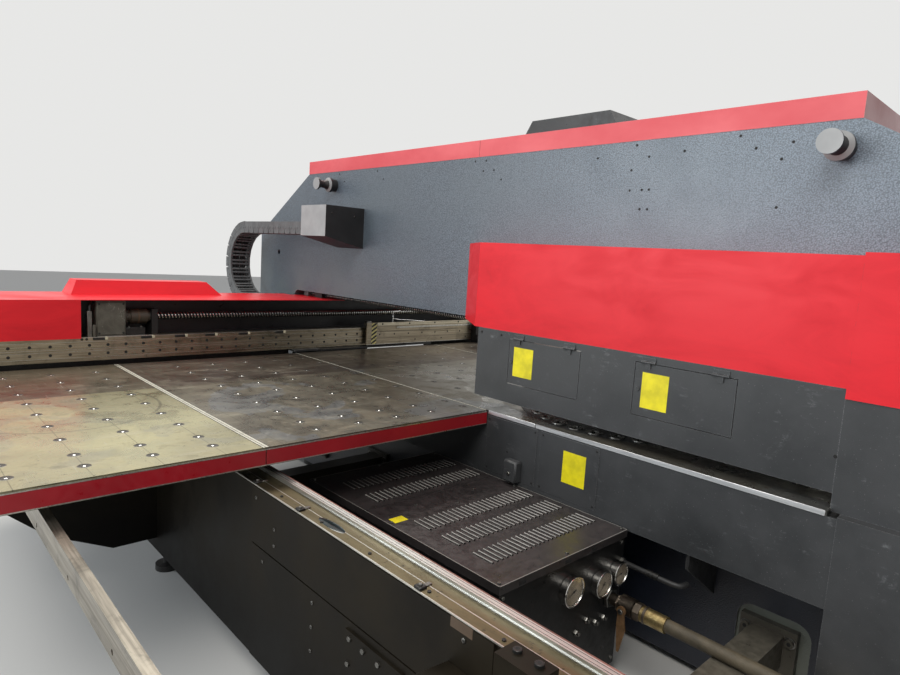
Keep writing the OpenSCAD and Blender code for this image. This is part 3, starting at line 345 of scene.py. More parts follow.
def table_steel():
    """Worn steel plates: stains with hard edges, drag marks, scratches, arcs and grooved ball rows."""
    look = Look("table_steel")
    side = look.math("ABSOLUTE", look.place("X"))
    outer = look.above(side, PLATE_JOINT * MM, 0.001)
    centre = look.below(side, SKIRT_SIDE * MM, 0.002)
    big = look.noise(0.9, 3.0, 0.5, None, 0.9)
    fine = look.noise(7.0, 8.0, 0.72, None, 0.5)
    drag = look.noise(16.0, 6.0, 0.72, (0.10, 1.0, 1.0))
    scratch = look.noise(210.0, 2.0, 0.5, (0.03, 1.0, 1.0))
    across = look.noise(190.0, 2.0, 0.5, (1.0, 0.04, 1.0))
    look.color = look.tones(big, (0.29, 0.262, 0.205), (0.215, 0.19, 0.145), 0.35, 0.65)
    look.coat(outer, look.tones(big, (0.70, 0.66, 0.40), (0.50, 0.465, 0.29), 0.35, 0.65), 0.85)
    look.coat(centre, (0.36, 0.35, 0.315), 0.7)
    # Stains, fainter on the outer plates
    calm = look.blend(outer, 1.0, 0.35)
    puddle = look.span(look.noise(1.9, 6.0, 0.55, (1.0, 0.75, 1.0), 1.3), 0.515, 0.535)
    look.coat(puddle, (0.17, 0.14, 0.10), 0.5, calm)
    blue = look.span(look.noise(2.6, 3.0, 0.5, None, 0.7), 0.58, 0.60)
    look.coat(blue, (0.27, 0.285, 0.30), 0.6, calm)
    # The part of the plates that the sheets seldom reach is darker
    rear = look.span(look.plus(look.place("Y"), look.times(fine, 0.03)), 0.728, 0.738)
    look.coat(rear, look.tones(big, (0.085, 0.064, 0.054), (0.13, 0.102, 0.082), 0.4, 0.6), 0.84)
    look.coat(look.span(fine, 0.48, 0.70, 0.0, 0.60), (0.13, 0.115, 0.08))
    look.coat(look.span(drag, 0.52, 0.72, 0.0, 0.40), (0.56, 0.53, 0.43))
    line = look.math("MAXIMUM", look.span(scratch, 0.66, 0.72), look.span(across, 0.68, 0.74))
    look.coat(line, (0.60, 0.58, 0.52), 0.35)
    look.coat(look.span(look.noise(75.0, 3.0, 0.6), 0.66, 0.71), (0.05, 0.04, 0.028), 0.65)
    # Grooves along the rows of balls, outside the centre table
    first = look.blend(outer, INNER_ROW * MM, OUTER_ROW * MM)
    rows = look.math("DIVIDE", look.math("SUBTRACT", side, first), ROW_PITCH * MM)
    off_row = look.math("SUBTRACT", look.math("FRACT", look.plus(rows, 0.5)), 0.5)
    groove = look.span(look.math("ABSOLUTE", off_row), 0.004, 0.009, 1.0, 0.0)
    look.coat(groove, (0.07, 0.06, 0.045), look.span(centre, 0.2, 0.8, 1.0, 0.0),
              look.span(fine, 0.3, 0.6, 0.2, 0.6))
    # Arcs drawn by turned sheets: centre, radius and half width
    for cx, cy, radius, half in ((-1.16, 0.10, 0.46, 0.010), (-0.98, 0.22, 0.62, 0.006),
                                 (-2.25, 0.50, 0.38, 0.006), (1.20, 0.30, 0.50, 0.008),
                                 (-0.20, 0.60, 0.42, 0.005)):
        away = look.node("VectorMath", {0: look.coords, 1: (cx, cy, TABLE_TOP * MM)}, "Value",
                         operation="DISTANCE")
        arc = look.between(away, radius - half, radius + half, 0.003)
        look.coat(arc, (0.11, 0.095, 0.07), look.span(big, 0.40, 0.56), 0.5)
    look.coat(look.below(look.facing("Z"), 0.0, 0.2), (0.05, 0.048, 0.044))
    rough = look.plus(look.span(fine, 0.3, 0.75, 0.22, 0.44), look.times(puddle, 0.06))
    rough = look.plus(rough, look.times(rear, 0.04))
    height = look.plus(look.times(scratch, 0.5), look.times(drag, 0.5))
    uneven = look.bump(look.noise(3.0, 2.0), 0.004, 0.10, look.bump(height, 0.0003, 0.35))
    return look.finish(rough, 0.88, uneven)


def motor_finish():
    """Motor case in worn brown-grey paint; the coupling is dark and the bearing block black."""
    look = Look("motor_case")
    x = look.place("X")
    cloud = look.noise(6.0, 6.0, 0.7, None, 0.8)
    look.color = look.tones(cloud, (0.105, 0.10, 0.082), (0.06, 0.055, 0.044), 0.35, 0.65)
    scuff = look.span(look.noise(34.0, 5.0, 0.75, (1.0, 1.0, 0.5), 1.4), 0.60, 0.66)
    look.coat(scuff, (0.30, 0.29, 0.26), 0.55)
    look.coat(look.above(x, -1.6995), look.mix(cloud, (0.03, 0.023, 0.017), (0.07, 0.052, 0.036)))
    look.coat(look.above(x, -1.5555), (0.006, 0.006, 0.006))
    return look.finish(look.span(cloud, 0.3, 0.7, 0.38, 0.55), 0.0, look.bump(look.noise(160.0), 0.0004))


def machined(name, color_a, color_b, stretch, rough_a=0.22, rough_b=0.42, grime=0.5):
    """Machined metal with tool marks along one direction and dark grime."""
    look = Look(name)
    mark = look.noise(150.0, 3.0, 0.6, stretch)
    wide = look.noise(14.0, 5.0, 0.65, stretch)
    look.color = look.tones(mark, color_a, color_b)
    look.coat(look.span(wide, 0.5, 0.7, 0.0, 0.4), tinted(color_b, 0.5))
    dirt = look.span(look.noise(9.0, 6.0, 0.68, None, 0.7), 0.50, 0.72, 0.0, grime)
    look.coat(dirt, tinted(color_b, 0.22))
    return look.finish(look.span(wide, 0.3, 0.7, rough_a, rough_b), 0.92, look.bump(mark, 0.0002, 0.4))


def plain_metal(name, color, rough, metal=1.0):
    """Metal with a faint cloud in its colour and gloss."""
    look = Look(name)
    cloud = look.noise(30.0, 4.0, 0.6)
    look.color = look.tones(cloud, color, tinted(color, 0.62))
    return look.finish(look.span(cloud, 0.3, 0.7, rough, rough + 0.14), metal)


def plastic(name, color, rough=0.5):
    """Plastic, rubber or flat paint with a fine grain."""
    look = Look(name)
    cloud = look.noise(12.0, 4.0, 0.6)
    look.color = look.tones(cloud, color, tinted(color, 0.7))
    return look.finish(look.span(cloud, 0.3, 0.7, rough, rough + 0.1), 0.0, look.grain(500.0, 0.0002))


def ball_finish():
    """Bright ball in a dull cup, told apart by height above the table."""
    look = Look("ball_finish")
    ball = look.span(look.place("Z"), 0.94003, 0.94008)
    look.color = look.mix(ball, (0.10, 0.095, 0.085), (0.75, 0.75, 0.74))
    return look.finish(look.blend(ball, 0.42, 0.07), 1.0)


def box_finish(name):
    """Pale grey on the sides that face across the machine, black elsewhere."""
    look = Look(name)
    cloud = look.noise(6.0, 4.0, 0.6)
    look.color = look.tones(cloud, (0.0075, 0.0075, 0.008), (0.016, 0.016, 0.017))
    grey = look.tones(cloud, (0.36, 0.365, 0.37), (0.29, 0.295, 0.30))
    look.coat(look.span(look.math("ABSOLUTE", look.facing("X")), 0.6, 0.95), grey)
    return look.finish(0.45, 0.0, look.grain(420.0, 0.0002))


def valve_finish():
    """Brass ferrule; the valve's body and stem are dark oily steel."""
    look = Look("valve_finish")
    cloud = look.noise(40.0, 5.0, 0.65)
    look.color = look.tones(cloud, (0.085, 0.07, 0.055), (0.03, 0.025, 0.02), 0.35)
    brass = look.tones(cloud, (0.47, 0.37, 0.17), (0.22, 0.155, 0.07), 0.35)
    look.coat(look.below(look.place("Y"), -1.37025, 0.00025), brass)
    return look.finish(look.span(cloud, 0.3, 0.7, 0.28, 0.5), 0.9)


def hose_finish():
    """Stained hose with a woven cover."""
    look = Look("hose_finish")
    weave = look.node("TexWave", {"Vector": look.coords, "Scale": 120.0, "Distortion": 0.6,
                                  "Detail": 1.0}, 1, bands_direction="DIAGONAL")
    look.color = look.tones(look.noise(10.0, 5.0, 0.65), (0.12, 0.098, 0.062), (0.048, 0.04, 0.026))
    look.coat(weave, (0.045, 0.04, 0.032), 0.25)
    return look.finish(0.62, 0.0, look.bump(weave, 0.0006))


def stripes_finish():
    """Slanted yellow and black bands of marking tape."""
    look = Look("stripes_finish")
    slant = look.plus(look.place("Z"), look.times(look.place("X"), -0.62))
    band = look.math("FRACT", look.times(slant, 31.0))
    look.color = look.tones(band, (0.72, 0.64, 0.26), (0.012, 0.012, 0.010), 0.47, 0.53)
    return look.finish(0.45)


def dial_finish():
    """Stained cream dial."""
    look = Look("dial_finish")
    look.color = look.tones(look.noise(28.0, 5.0, 0.7), (0.43, 0.37, 0.28), (0.26, 0.205, 0.145), 0.35)
    return look.finish(0.55)


def clear_glass():
    look = Look("clear_glass", (0.95, 0.96, 0.95))
    return look.finish(0.04, Transmission_Weight=1.0, IOR=1.45, Alpha=0.35)


# Directions in which noise is drawn out
ALONG_X = (0.03, 1.0, 1.0)
ALONG_Y = (1.0, 0.03, 1.0)

CHARCOAL = charcoal_paint()
DARK = dark_paint("dark_paint", (0.014, 0.0145, 0.0155), (0.03, 0.03, 0.03), 3.2)
MOTOR_CASE = motor_finish()
BOLT = plain_metal("bolt_steel", (0.22, 0.215, 0.20), 0.3)
BRIGHT = plain_metal("bright_steel", (0.66, 0.66, 0.65), 0.2)
BLACK_STEEL = plain_metal("black_steel", (0.035, 0.034, 0.033), 0.35, 0.6)
CHROME = plain_metal("chrome", (0.72, 0.70, 0.66), 0.12)
CHAIN = plastic("chain_plastic", (0.115, 0.12, 0.124))
BLACK_RUBBER = plastic("black_rubber", (0.02, 0.02, 0.021), 0.48)
# Black, used as painted shade in holes, screw sockets, slots and grooves, and for dark gaps and printed
# marks.
HOLE = plastic("hole_black", (0.004, 0.004, 0.004), 0.7)
YELLOW = plastic("yellow_plate", (0.90, 0.78, 0.012), 0.38)
SILVER_EDGE = machined("edge_strip_steel", (0.74, 0.75, 0.76), (0.56, 0.57, 0.58), ALONG_Y, 0.42, 0.55, 0.15)
SEAM = machined("seam_aluminium", (0.60, 0.59, 0.55), (0.42, 0.41, 0.37), (1.0, 0.04, 1.0), 0.26, 0.42, 0.3)
STRIP = plain_metal("seam_strip", (0.70, 0.68, 0.58), 0.36, 0.45)
LOUVRE_TOP = plastic("louvre_top", (0.012, 0.011, 0.011))
LOUVRE = plastic("louvre_edge", (0.27, 0.26, 0.245), 0.34)
STRIPES = stripes_finish()
DIAL = dial_finish()
GLASS = clear_glass()
NEEDLE = plastic("needle_black", (0.01, 0.01, 0.01), 0.4)
CUP = machined("cup_steel", (0.20, 0.19, 0.17), (0.12, 0.115, 0.10), (1.0, 1.0, 1.0), 0.3, 0.45)
VALVE_BODY = plain_metal("valve_steel", (0.16, 0.13, 0.10), 0.36, 0.8)
RUST = plastic("brown_paint", (0.10, 0.062, 0.035))
OIL = plastic("oil", (0.012, 0.02, 0.02), 0.05)
IVORY = plastic("ivory_tip", (0.62, 0.57, 0.42), 0.45)
SCALE = machined("scale_steel", (0.66, 0.60, 0.47), (0.50, 0.45, 0.34), ALONG_X, 0.24, 0.4, 0.2)
# Painted highlight and painted shade: lit crests and shaded grooves of the same screw steel.
CREST_HIGHLIGHT = plain_metal("thread_crest_highlight", (0.86, 0.85, 0.80), 0.16)
GROOVE_SHADE = plain_metal("thread_groove_shade", (0.02, 0.02, 0.022), 0.4, 0.3)


def dress(finish, *names):
    """Gives nodes of the part their finish."""
    for name in names:
        nodes[name].data.materials.clear()
        nodes[name].data.materials.append(finish)


dress(frame_paint(), "bridge_frame")
dress(faded_red(), "frame_caps")
dress(red_paint(), "turret_cover_left", "turret_cover_right", "end_cover", "carriage_covers")
dress(dark_paint("trim_paint", (0.26, 0.006, 0.012), (0.34, 0.009, 0.017), 1.6), "table_trims")
dress(dark_paint("bay_paint", (0.004, 0.004, 0.005), (0.009, 0.009, 0.01), 2.0), "carriage_base")
dress(CHARCOAL, "access_cover_left", "access_cover_right", "door_left_front", "door_left_rear",
      "door_right_front", "door_right_rear", "end_cabinet", "skirts")
dress(DARK, "top_hood", "table_frame")
dress(dark_paint("cabinet_paint", (0.004, 0.0042, 0.0045), (0.01, 0.0098, 0.0095), 2.0, 0.28),
      "hydraulic_tank")
dress(dark_paint("lid_paint", (0.022, 0.0195, 0.0195), (0.034, 0.029, 0.029), 1.5), "hydraulic_lid")
dress(dark_paint("beam_paint", (0.06, 0.054, 0.042), (0.086, 0.078, 0.062), 1.8, 0.3), "cross_beams")
dress(dark_paint("motor_paint", (0.055, 0.054, 0.05), (0.095, 0.092, 0.084), 3.2),
      "pump_motor", "turret_gearmotor")
dress(guide_paint(), "guide_beams", "guide_panels")
dress(MOTOR_CASE, "x_servo_drive")
dress(table_steel(), "centre_table", "side_table_left", "side_table_right")
dress(machined("bar_steel", (0.44, 0.385, 0.29), (0.27, 0.23, 0.165), ALONG_X),
      "x_guide_bar", "sheet_carriage")
dress(rail_finish(), "guide_rails")
dress(machined("outer_rail_steel", (0.34, 0.31, 0.26), (0.20, 0.18, 0.15), ALONG_Y, 0.3, 0.5),
      "outer_rails")
dress(machined("cast_steel", (0.30, 0.30, 0.30), (0.20, 0.20, 0.20), (1.0, 1.0, 0.2), 0.3, 0.5, 0.4),
      "ram_cylinder", "turret_bearings", "upper_turret", "lower_turret", "die_anvil", "y_screw_drive")
dress(plain_metal("shaft_steel", (0.62, 0.61, 0.57), 0.2),
      "striker", "drive_shaft", "punches", "dies", "x_ball_screw", "y_ball_screw")
dress(BLACK_STEEL, "levelling_feet", "turret_chains", "guide_saddles", "clamp_bodies",
      "clamp_jaw_left", "clamp_jaw_right")
dress(box_finish("trunnion_finish"), "lifting_trunnions")
dress(box_finish("box_finish"), "chain_box")
dress(ball_finish(), "centre_balls", "side_balls")
dress(CHROME, "pressure_gauges")
dress(valve_finish(), "ball_valve")
dress(plain_metal("lever_steel", (0.34, 0.20, 0.10), 0.42, 0.7), "valve_lever")
dress(hose_finish(), "hydraulic_hose")
dress(CHAIN, "cable_chain")


# Small fittings

class Piece:
    """One mesh of simple solids, in millimetres."""

    def __init__(self, name):
        self.name = name
        self.points, self.faces, self.marks, self.mats = [], [], [], []
        self.turn = Matrix()

    def mirrored(self):
        """Runs a loop for each side of the machine: what it adds at +X is mirrored to -X first."""
        for side in (-1, 1):
            self.turn = Matrix.Diagonal((side, 1, 1, 1))
            yield side
        self.turn = Matrix()

    def add(self, points, faces, mat):
        if mat not in self.mats:
            self.mats.append(mat)
        base = len(self.points)
        self.points += [(self.turn @ Vector(point)) * MM for point in points]
        self.faces += [[base + i for i in face] for face in faces]
        self.marks += [self.mats.index(mat)] * len(faces)

    def box(self, low, high, mat):
        points = [(x, y, z) for x in (low[0], high[0]) for y in (low[1], high[1])
                  for z in (low[2], high[2])]
        self.add(points, [(0, 1, 3, 2), (4, 6, 7, 5), (0, 4, 5, 1), (2, 3, 7, 6), (0, 2, 6, 4),
                          (1, 5, 7, 3)], mat)

    def block(self, low, high, mat, cut=2.0):
        """Box with its edges cut at 45 degrees."""
        points, faces = [], []
        for i in range(8):
            side = [(i >> a) & 1 for a in range(3)]
            for a in range(3):
                points.append([(high if side[b] else low)[b] + (0 if b == a else cut * (1 - 2 * side[b]))
                               for b in range(3)])
        for a in range(3):
            b, c = (a + 1) % 3, (a + 2) % 3
            for s in (0, 1):
                ring = [s << a | p << b | q << c for p, q in ((0, 0), (1, 0), (1, 1), (0, 1))]
                faces.append([3 * i + a for i in ring])
            for p in (0, 1):
                for q in (0, 1):
                    near = p << b | q << c
                    far = near | 1 << a
                    faces.append([3 * near + b, 3 * far + b, 3 * far + c, 3 * near + c])
        faces += [[3 * i, 3 * i + 1, 3 * i + 2] for i in range(8)]
        self.add(points, faces, mat)

    def lathe(self, profile, origin, axis, mat, steps=20, closed=False):
        """Turned shape: profile holds pairs of radius and distance along the axis."""
        axis = Vector(axis).normalized()
        side = axis.orthogonal().normalized()
        other = axis.cross(side)
        points, faces = [], []
        for radius, along in profile:
            for k in range(steps):
                angle = 2 * math.pi * k / steps
                points.append(Vector(origin) + axis * along
                              + (side * math.cos(angle) + other * math.sin(angle)) * radius)
        rings = len(profile)
        for i in range(rings if closed else rings - 1):
            a, b = i * steps, (i + 1) % rings * steps
            for k in range(steps):
                n = (k + 1) % steps
                faces.append((a + k, a + n, b + n, b + k))
        if not closed:
            faces += [list(range(steps)), list(range((rings - 1) * steps, rings * steps))]
        self.add(points, faces, mat)

    def rod(self, start, end, radius, mat, steps=16, cut=0.0):
        line = Vector(end) - Vector(start)
        profile = [(radius, 0), (radius, line.length)]
        if cut:
            profile = [(radius - cut, 0), (radius, cut), (radius, line.length - cut),
                       (radius - cut, line.length)]
        self.lathe(profile, start, line, mat, steps)

    def hole(self, place, out, radius, proud=0.5, deep=1.0):
        """Black disc that stands for a drilled hole: painted shade inside the hole."""
        self.rod(Vector(place) - out * deep, Vector(place) + out * proud, radius, HOLE, 12)

    def bolt(self, place, axis, radius, mat, head="socket", high=4.0):
        """Screw head standing on place: socket, hex or button."""
        if head == "hex":
            self.lathe([(radius, 0), (radius, high * 0.8), (radius * 0.86, high)], place, axis, mat, 6)
            return
        shoulder, level, top = (0.92, 0.45, 0.62) if head == "button" else (1.0, 0.85, 0.88)
        self.lathe([(radius, 0), (radius * shoulder, high * level), (radius * top, high)],
                   place, axis, mat, 14)
        # Black disc in the head: painted shade of its socket.
        self.lathe([(radius * 0.48, -0.3), (radius * 0.48, 0)], Vector(place) + axis * (high + 0.15),
                   axis, HOLE, 6)

    def prism(self, outline, axis, start, end, mat):
        """Outline in the plane across axis 0, 1 or 2, run from start to end along it."""
        points = []
        for along in (start, end):
            for pair in outline:
                point = list(pair)
                point.insert(axis, along)
                points.append(point)
        n = len(outline)
        faces = [list(range(n)), list(range(n, 2 * n))]
        faces += [(i, (i + 1) % n, n + (i + 1) % n, n + i) for i in range(n)]
        self.add(points, faces, mat)

    def tube(self, path, radii, mat, steps=12):
        """Round tube along a path, with one radius or a list of them."""
        path = [Vector(place) for place in path]
        if not isinstance(radii, (list, tuple)):
            radii = [radii] * len(path)
        points, faces = [], []
        side = None
        for i, place in enumerate(path):
            ahead = (path[min(i + 1, len(path) - 1)] - path[max(i - 1, 0)]).normalized()
            side = ahead.orthogonal() if side is None else side - ahead * side.dot(ahead)
            side.normalize()
            other = ahead.cross(side)
            for k in range(steps):
                angle = 2 * math.pi * k / steps
                points.append(place + (side * math.cos(angle) + other * math.sin(angle)) * radii[i])
        for i in range(len(path) - 1):
            for k in range(steps):
                n = (k + 1) % steps
                faces.append((i * steps + k, i * steps + n, (i + 1) * steps + n, (i + 1) * steps + k))
        faces += [list(range(steps)), list(range((len(path) - 1) * steps, len(path) * steps))]
        self.add(points, faces, mat)

    def done(self, slot, body=None, *replaced):
        """Makes the object; without a body, its motion is left to the caller."""
        mesh = bpy.data.meshes.new(self.name)
        mesh.from_pydata(self.points, [], self.faces)
        for mat in self.mats:
            mesh.materials.append(mat)
        mesh.polygons.foreach_set("material_index", self.marks)
        work = bmesh.new()
        work.from_mesh(mesh)
        bmesh.ops.recalc_face_normals(work, faces=work.faces)
        work.to_mesh(mesh)
        work.free()
        mesh.shade_smooth()
        mesh.set_sharp_from_angle(angle=math.radians(38.0))
        made = bpy.data.objects.new(self.name, mesh)
        bpy.context.scene.collection.objects.link(made)
        if replaced:
            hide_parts(*replaced)
        if body:
            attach(made, body)
        return made


RIGHT = Vector((1, 0, 0))
FRONT = Vector((0, -1, 0))
UP = Vector((0, 0, 1))

# Y and Z of the holes drilled in both sides of the bridge
FRAME_HOLES = (
    (-1376, 2189), (-1439, 2138), (-1569, 2150), (-1535, 2092), (-1537, 1918), (-933, 2191),
    (-737, 2150), (-996, 2139), (-916, 2087), (-917, 2000), (-976, 2001), (-1010, 2001),
    (-974, 1919), (-1011, 1918), (-1154, 2150), (53, 2188), (-29, 2187), (-11, 2134), (-90, 2134),
    (-146, 2083), (948, 2188), (882, 2134), (1327, 2138), (1392, 2191))


def fit_frame():
    """Drilled holes of the bridge, screws of the covers and skirts, and blank yellow plates."""
    piece = Piece("frame_holes")
    for _ in piece.mirrored():
        for y, z in FRAME_HOLES:
            piece.hole((FRAME_SIDE, y, z), RIGHT, 5.5)
    piece.done("dark_steel", "machine")

    piece = Piece("cover_screws")
    for _ in piece.mirrored():
        for y in (-302, -433):
            piece.bolt((COVER_SIDE, y, 1309), RIGHT, 6.5, BLACK_STEEL, "button", 3.5)
        piece.hole((COVER_SIDE, -1896, 1109), RIGHT, 6, deep=2.0)
        panel_screws = [(y, z) for y in (-720, -436, -1050, -766) for z in (664, 902)]
        for y, z in panel_screws + [(-561, 770)]:
            piece.bolt((SKIRT_SIDE, y, z), RIGHT, 5.5, BLACK_STEEL, "button", 1.2)
        bracket = SKIRT_SIDE + 46
        piece.block((SKIRT_SIDE, -658, 648), (bracket, -581, 749), CHARCOAL, 7)
        piece.bolt((bracket, -619, 690), RIGHT, 9, BOLT, "hex", 6)
    piece.done("dark_steel", "machine")

    piece = Piece("skirt_plate")
    for _ in piece.mirrored():
        piece.box((SKIRT_SIDE - 0.5, -1001, 723), (SKIRT_SIDE + 0.9, -883, 863), YELLOW)
    piece.done("red_paint", "machine")
    for door, y0, y1, z0, z1 in (("front", -637, -521, 1125, 1263), ("rear", -1310, -1197, 1119, 1261)):
        for side, word in ((-1, "left"), (1, "right")):
            piece = Piece(f"door_plate_{word}_{door}")
            piece.box((side * (COVER_SIDE - 0.5), y0, z0), (side * (COVER_SIDE + 0.9), y1, z1), YELLOW)
            piece.done("red_paint", f"door_{word}_{door}")


def fit_tables():
    """Bright strips at the tables' joints and the rims of the ball cups."""
    piece = Piece("table_edge_strips")
    edge = box_of("centre_table")[1][0]
    for _ in piece.mirrored():
        for y0, y1 in ((-1900, -718), (-714, -424)):
            piece.block((edge - 1, y0, 922.5), (edge + 3.5, y1, TABLE_TOP + 0.9), SILVER_EDGE, 1.2)
    piece.done("bright_steel", "machine")

    piece = Piece("side_table_seams")
    y0, y1 = TABLE_LOW[1] + 0.5, TABLE_HIGH[1] - 0.5
    for _ in piece.mirrored():
        # Pale strips with dark gaps beside them, from the joint and from the inner edge
        for line, x0, x1 in ((PLATE_JOINT, -12, -1), (PLATE_JOINT, 1.5, 10), (TABLE_LOW[0], 1, 10)):
            piece.box((line + x0, y0, 938), (line + x1, y1, TABLE_TOP + 0.45), STRIP)
        for line, x0, x1 in ((PLATE_JOINT, -15, -12), (PLATE_JOINT, -1, 1.5), (PLATE_JOINT, 10, 13),
                             (TABLE_LOW[0], 10, 12)):
            piece.box((line + x0, y0, 938), (line + x1, y1, TABLE_TOP + 0.3), HOLE)
        for z in (932.5, 874.5):
            piece.box((TABLE_LOW[0] + 1, TABLE_LOW[1] - 4.6, z - 1.6),
                      (TABLE_HIGH[0] - 1, TABLE_LOW[1], z + 1.6), SEAM)
    piece.done("bright_steel", "y_carriage")

    rows = [1230 - 200 * k for k in range(8)]
    rim = [(17.2, -1), (17.2, 0.5), (20.5, 0.5), (21.2, 0), (21.2, -1)]
    piece = Piece("centre_ball_rims")
    for k in (-2, -1, 0, 1, 2):
        for y in rows:
            piece.lathe(rim, (ROW_PITCH * k, y, TABLE_TOP), UP, CUP, 16, True)
    piece.done("worn_steel", "machine")

    lines = [INNER_ROW + ROW_PITCH * k for k in range(5)] + [OUTER_ROW + ROW_PITCH * k for k in range(4)]
    piece = Piece("side_ball_rims")
    for _ in piece.mirrored():
        for x in lines:
            for y in rows + [-300]:
                piece.lathe(rim, (x, y, TABLE_TOP), UP, CUP, 16, True)
    piece.done("worn_steel", "y_carriage")


# Near ends of the rows of louvres, and the first louvre
LOUVRE_ROWS = (-1103, -937, -776, -447, -276)
LOUVRE_X, LOUVRE_PITCH = -680, 25.2
# Sections of a louvre, from its middle and the lid's top: hood, lip of worn paint with a painted highlight
# on its near side, and ends
HOOD = ((-6.6, -0.5), (-6.0, 4.2), (-3.6, 5.4), (2.6, 2.6), (5.4, -0.5))
LIP = ((-7.0, 2.8), (-6.2, 4.6), (-4.4, 5.6), (-4.6, 4.8), (-5.6, 3.8))
END = ((-6.6, -0.3), (-6.0, 4.6), (-3.4, 5.7), (2.6, 3.0), (5.6, -0.3))


def fit_lid():
    """Louvres, screws, rim and seam of the hydraulic unit's lid."""
    piece = Piece("lid_louvres")
    (x0, y0, _), (x1, y1, top) = LID_LOW, LID_HIGH
    for row in LOUVRE_ROWS:
        for k in range(25):
            x = LOUVRE_X - LOUVRE_PITCH * k
            for section, near, far, mat in ((HOOD, 1, 95, LOUVRE_TOP), (LIP, 4, 92, LOUVRE),
                                            (END, 1, 3.5, LOUVRE), (END, 92.5, 95, LOUVRE)):
                outline = [(x + across, top + rise) for across, rise in section]
                piece.prism(outline, 1, row + near, row + far, mat)
    screws = [(x, y) for x in (-1370, -1010, -651) for y in (-1208, -640, -72)]
    for x, y in screws + [(-1180, -560), (-840, -560)]:
        piece.bolt((x, y, top), UP, 7, BOLT, "hex", 5)
    # Rubbed rim, seam and slots in the near edge
    rim = 3
    for a, b, c, d in ((x0, y0, x1, y0 + rim), (x0, y1 - rim, x1, y1), (x0, y0, x0 + rim, y1),
                       (x1 - rim, y0, x1, y1)):
        piece.box((a, b, top - 0.5), (c, d, top + 0.5), LOUVRE)
    piece.box((x0 + rim, -489.5, top - 0.5), (x1 - rim, -486.5, top + 0.4), HOLE)
    # The slots are black boxes: painted shade in them.
    for x in (-1290, -1040, -880):
        piece.box((x, y0 - 0.6, 604), (x + 34, y0 + 4, 618), HOLE)
    piece.box((-1360, -652, top - 0.5), (-1296, -608, top + 0.8), YELLOW)
    piece.done("dark_paint", "machine")


# X, Z, radius and needle's angle of each gauge
GAUGES = ((-1001, 496, 58, 205), (-806, 462, 53, 228), (-690, 470, 48, 190))


def around(degrees):
    """Direction in a gauge's plane, counted from +X towards +Z."""
    angle = math.radians(degrees)
    return Vector((math.cos(angle), 0, math.sin(angle)))


def fit_gauges():
    """Cases, dials with divisions, needles and glasses of the gauges."""
    piece = Piece("gauges")
    glasses = Piece("gauge_glasses")
    for x, z, r, swing in GAUGES:
        place = (x, TANK_FRONT, z)
        dial = r - 9
        piece.lathe([(r - 5, 0), (r - 3, 2), (r - 3, 22), (r, 24), (r, 31), (r - 2, 33), (r - 6, 33),
                     (r - 8, 30), (r - 8, 25), (3, 25)], place, FRONT, CHROME, 40)
        piece.lathe([(dial, 25.5), (dial, 26)], place, FRONT, DIAL, 40)
        for k in range(28):
            inner, half = (0.76, 0.9) if k % 3 == 0 else (0.86, 0.5)
            along = around(225 - 10 * k)
            across = around(315 - 10 * k) * half
            base = Vector((x, TANK_FRONT - 26.3, z))
            start, end = base + along * dial * inner, base + along * dial * 0.94
            piece.add([start - across, start + across, end + across, end - across], [(0, 1, 2, 3)], NEEDLE)
        hub = Vector((x, TANK_FRONT - 27.5, z))
        point = around(swing) * dial
        piece.tube([hub - point * 0.25, hub, hub + point * 0.82], (1.6, 1.3, 0.5), NEEDLE, 6)
        piece.rod(hub - FRONT * 1.5, hub + FRONT * 1.5, 4, NEEDLE, 12)
        glasses.rod((x, TANK_FRONT - 30, z), (x, TANK_FRONT - 31, z), r - 8.2, GLASS, 40)
    piece.done("gauge_chrome", "machine", "pressure_gauges")
    glasses.done("gauge_chrome", "machine")


# X and Z of the valve's axis, which runs along Y
VALVE_X, VALVE_Z = -720, 371


def fit_valve():
    """Drain tube, nuts of the valve, and plugs and screws of the cabinet's front."""
    piece = Piece("hydraulic_fittings")
    # Drain tube from the cabinet to the gusset, with a wrapped sleeve
    piece.tube([(-650, -1221, 500), (-650, -1300, 499), (-650, -1380, 497), (-648, -1440, 496),
                (-639, -1462, 495), (-622, -1471, 495), (-600, -1474, 495)], 10.5, BLACK_RUBBER)
    sleeve = [(-650, -1330 - 6 * k, 498.3) for k in range(10)]
    piece.tube(sleeve, [13.0 + 1.2 * math.sin(2.1 * k) for k in range(10)], BLACK_STEEL, 14)
    piece.rod((-650, TANK_FRONT, 500), (-650, TANK_FRONT - 14, 500), 17, BOLT, 6)
    for y0, y1, radius, mat in ((-1221, -1238, 40, BOLT), (-1268, -1282, 33, VALVE_BODY),
                                (-1342, -1368, 36, VALVE_BODY)):
        piece.rod((VALVE_X, y0, VALVE_Z), (VALVE_X, y1, VALVE_Z), radius, mat, 6, 2)
    piece.bolt((VALVE_X - 55, -1310, VALVE_Z), -RIGHT, 11, BOLT, "hex", 8)
    for x, z in ((-806, 297), (-750, 297), (-870, 330), (-930, 300)):
        piece.bolt((x, TANK_FRONT, z), FRONT, 13, BOLT, "hex", 12)
        piece.rod((x, TANK_FRONT - 12, z), (x, TANK_FRONT - 20, z), 8, BOLT, 12, 1)
    piece.lathe([(31.2, 0), (33.5, 1.5), (33.5, 9), (31.2, 10.5)], (VALVE_X, -1392, VALVE_Z), -FRONT,
                VALVE_BODY, 28, True)
    for x in (-1362, -660):
        for z in (90, 582):
            piece.bolt((x, TANK_FRONT, z), FRONT, 8, BOLT, "hex", 5)
    piece.done("brass", "machine")


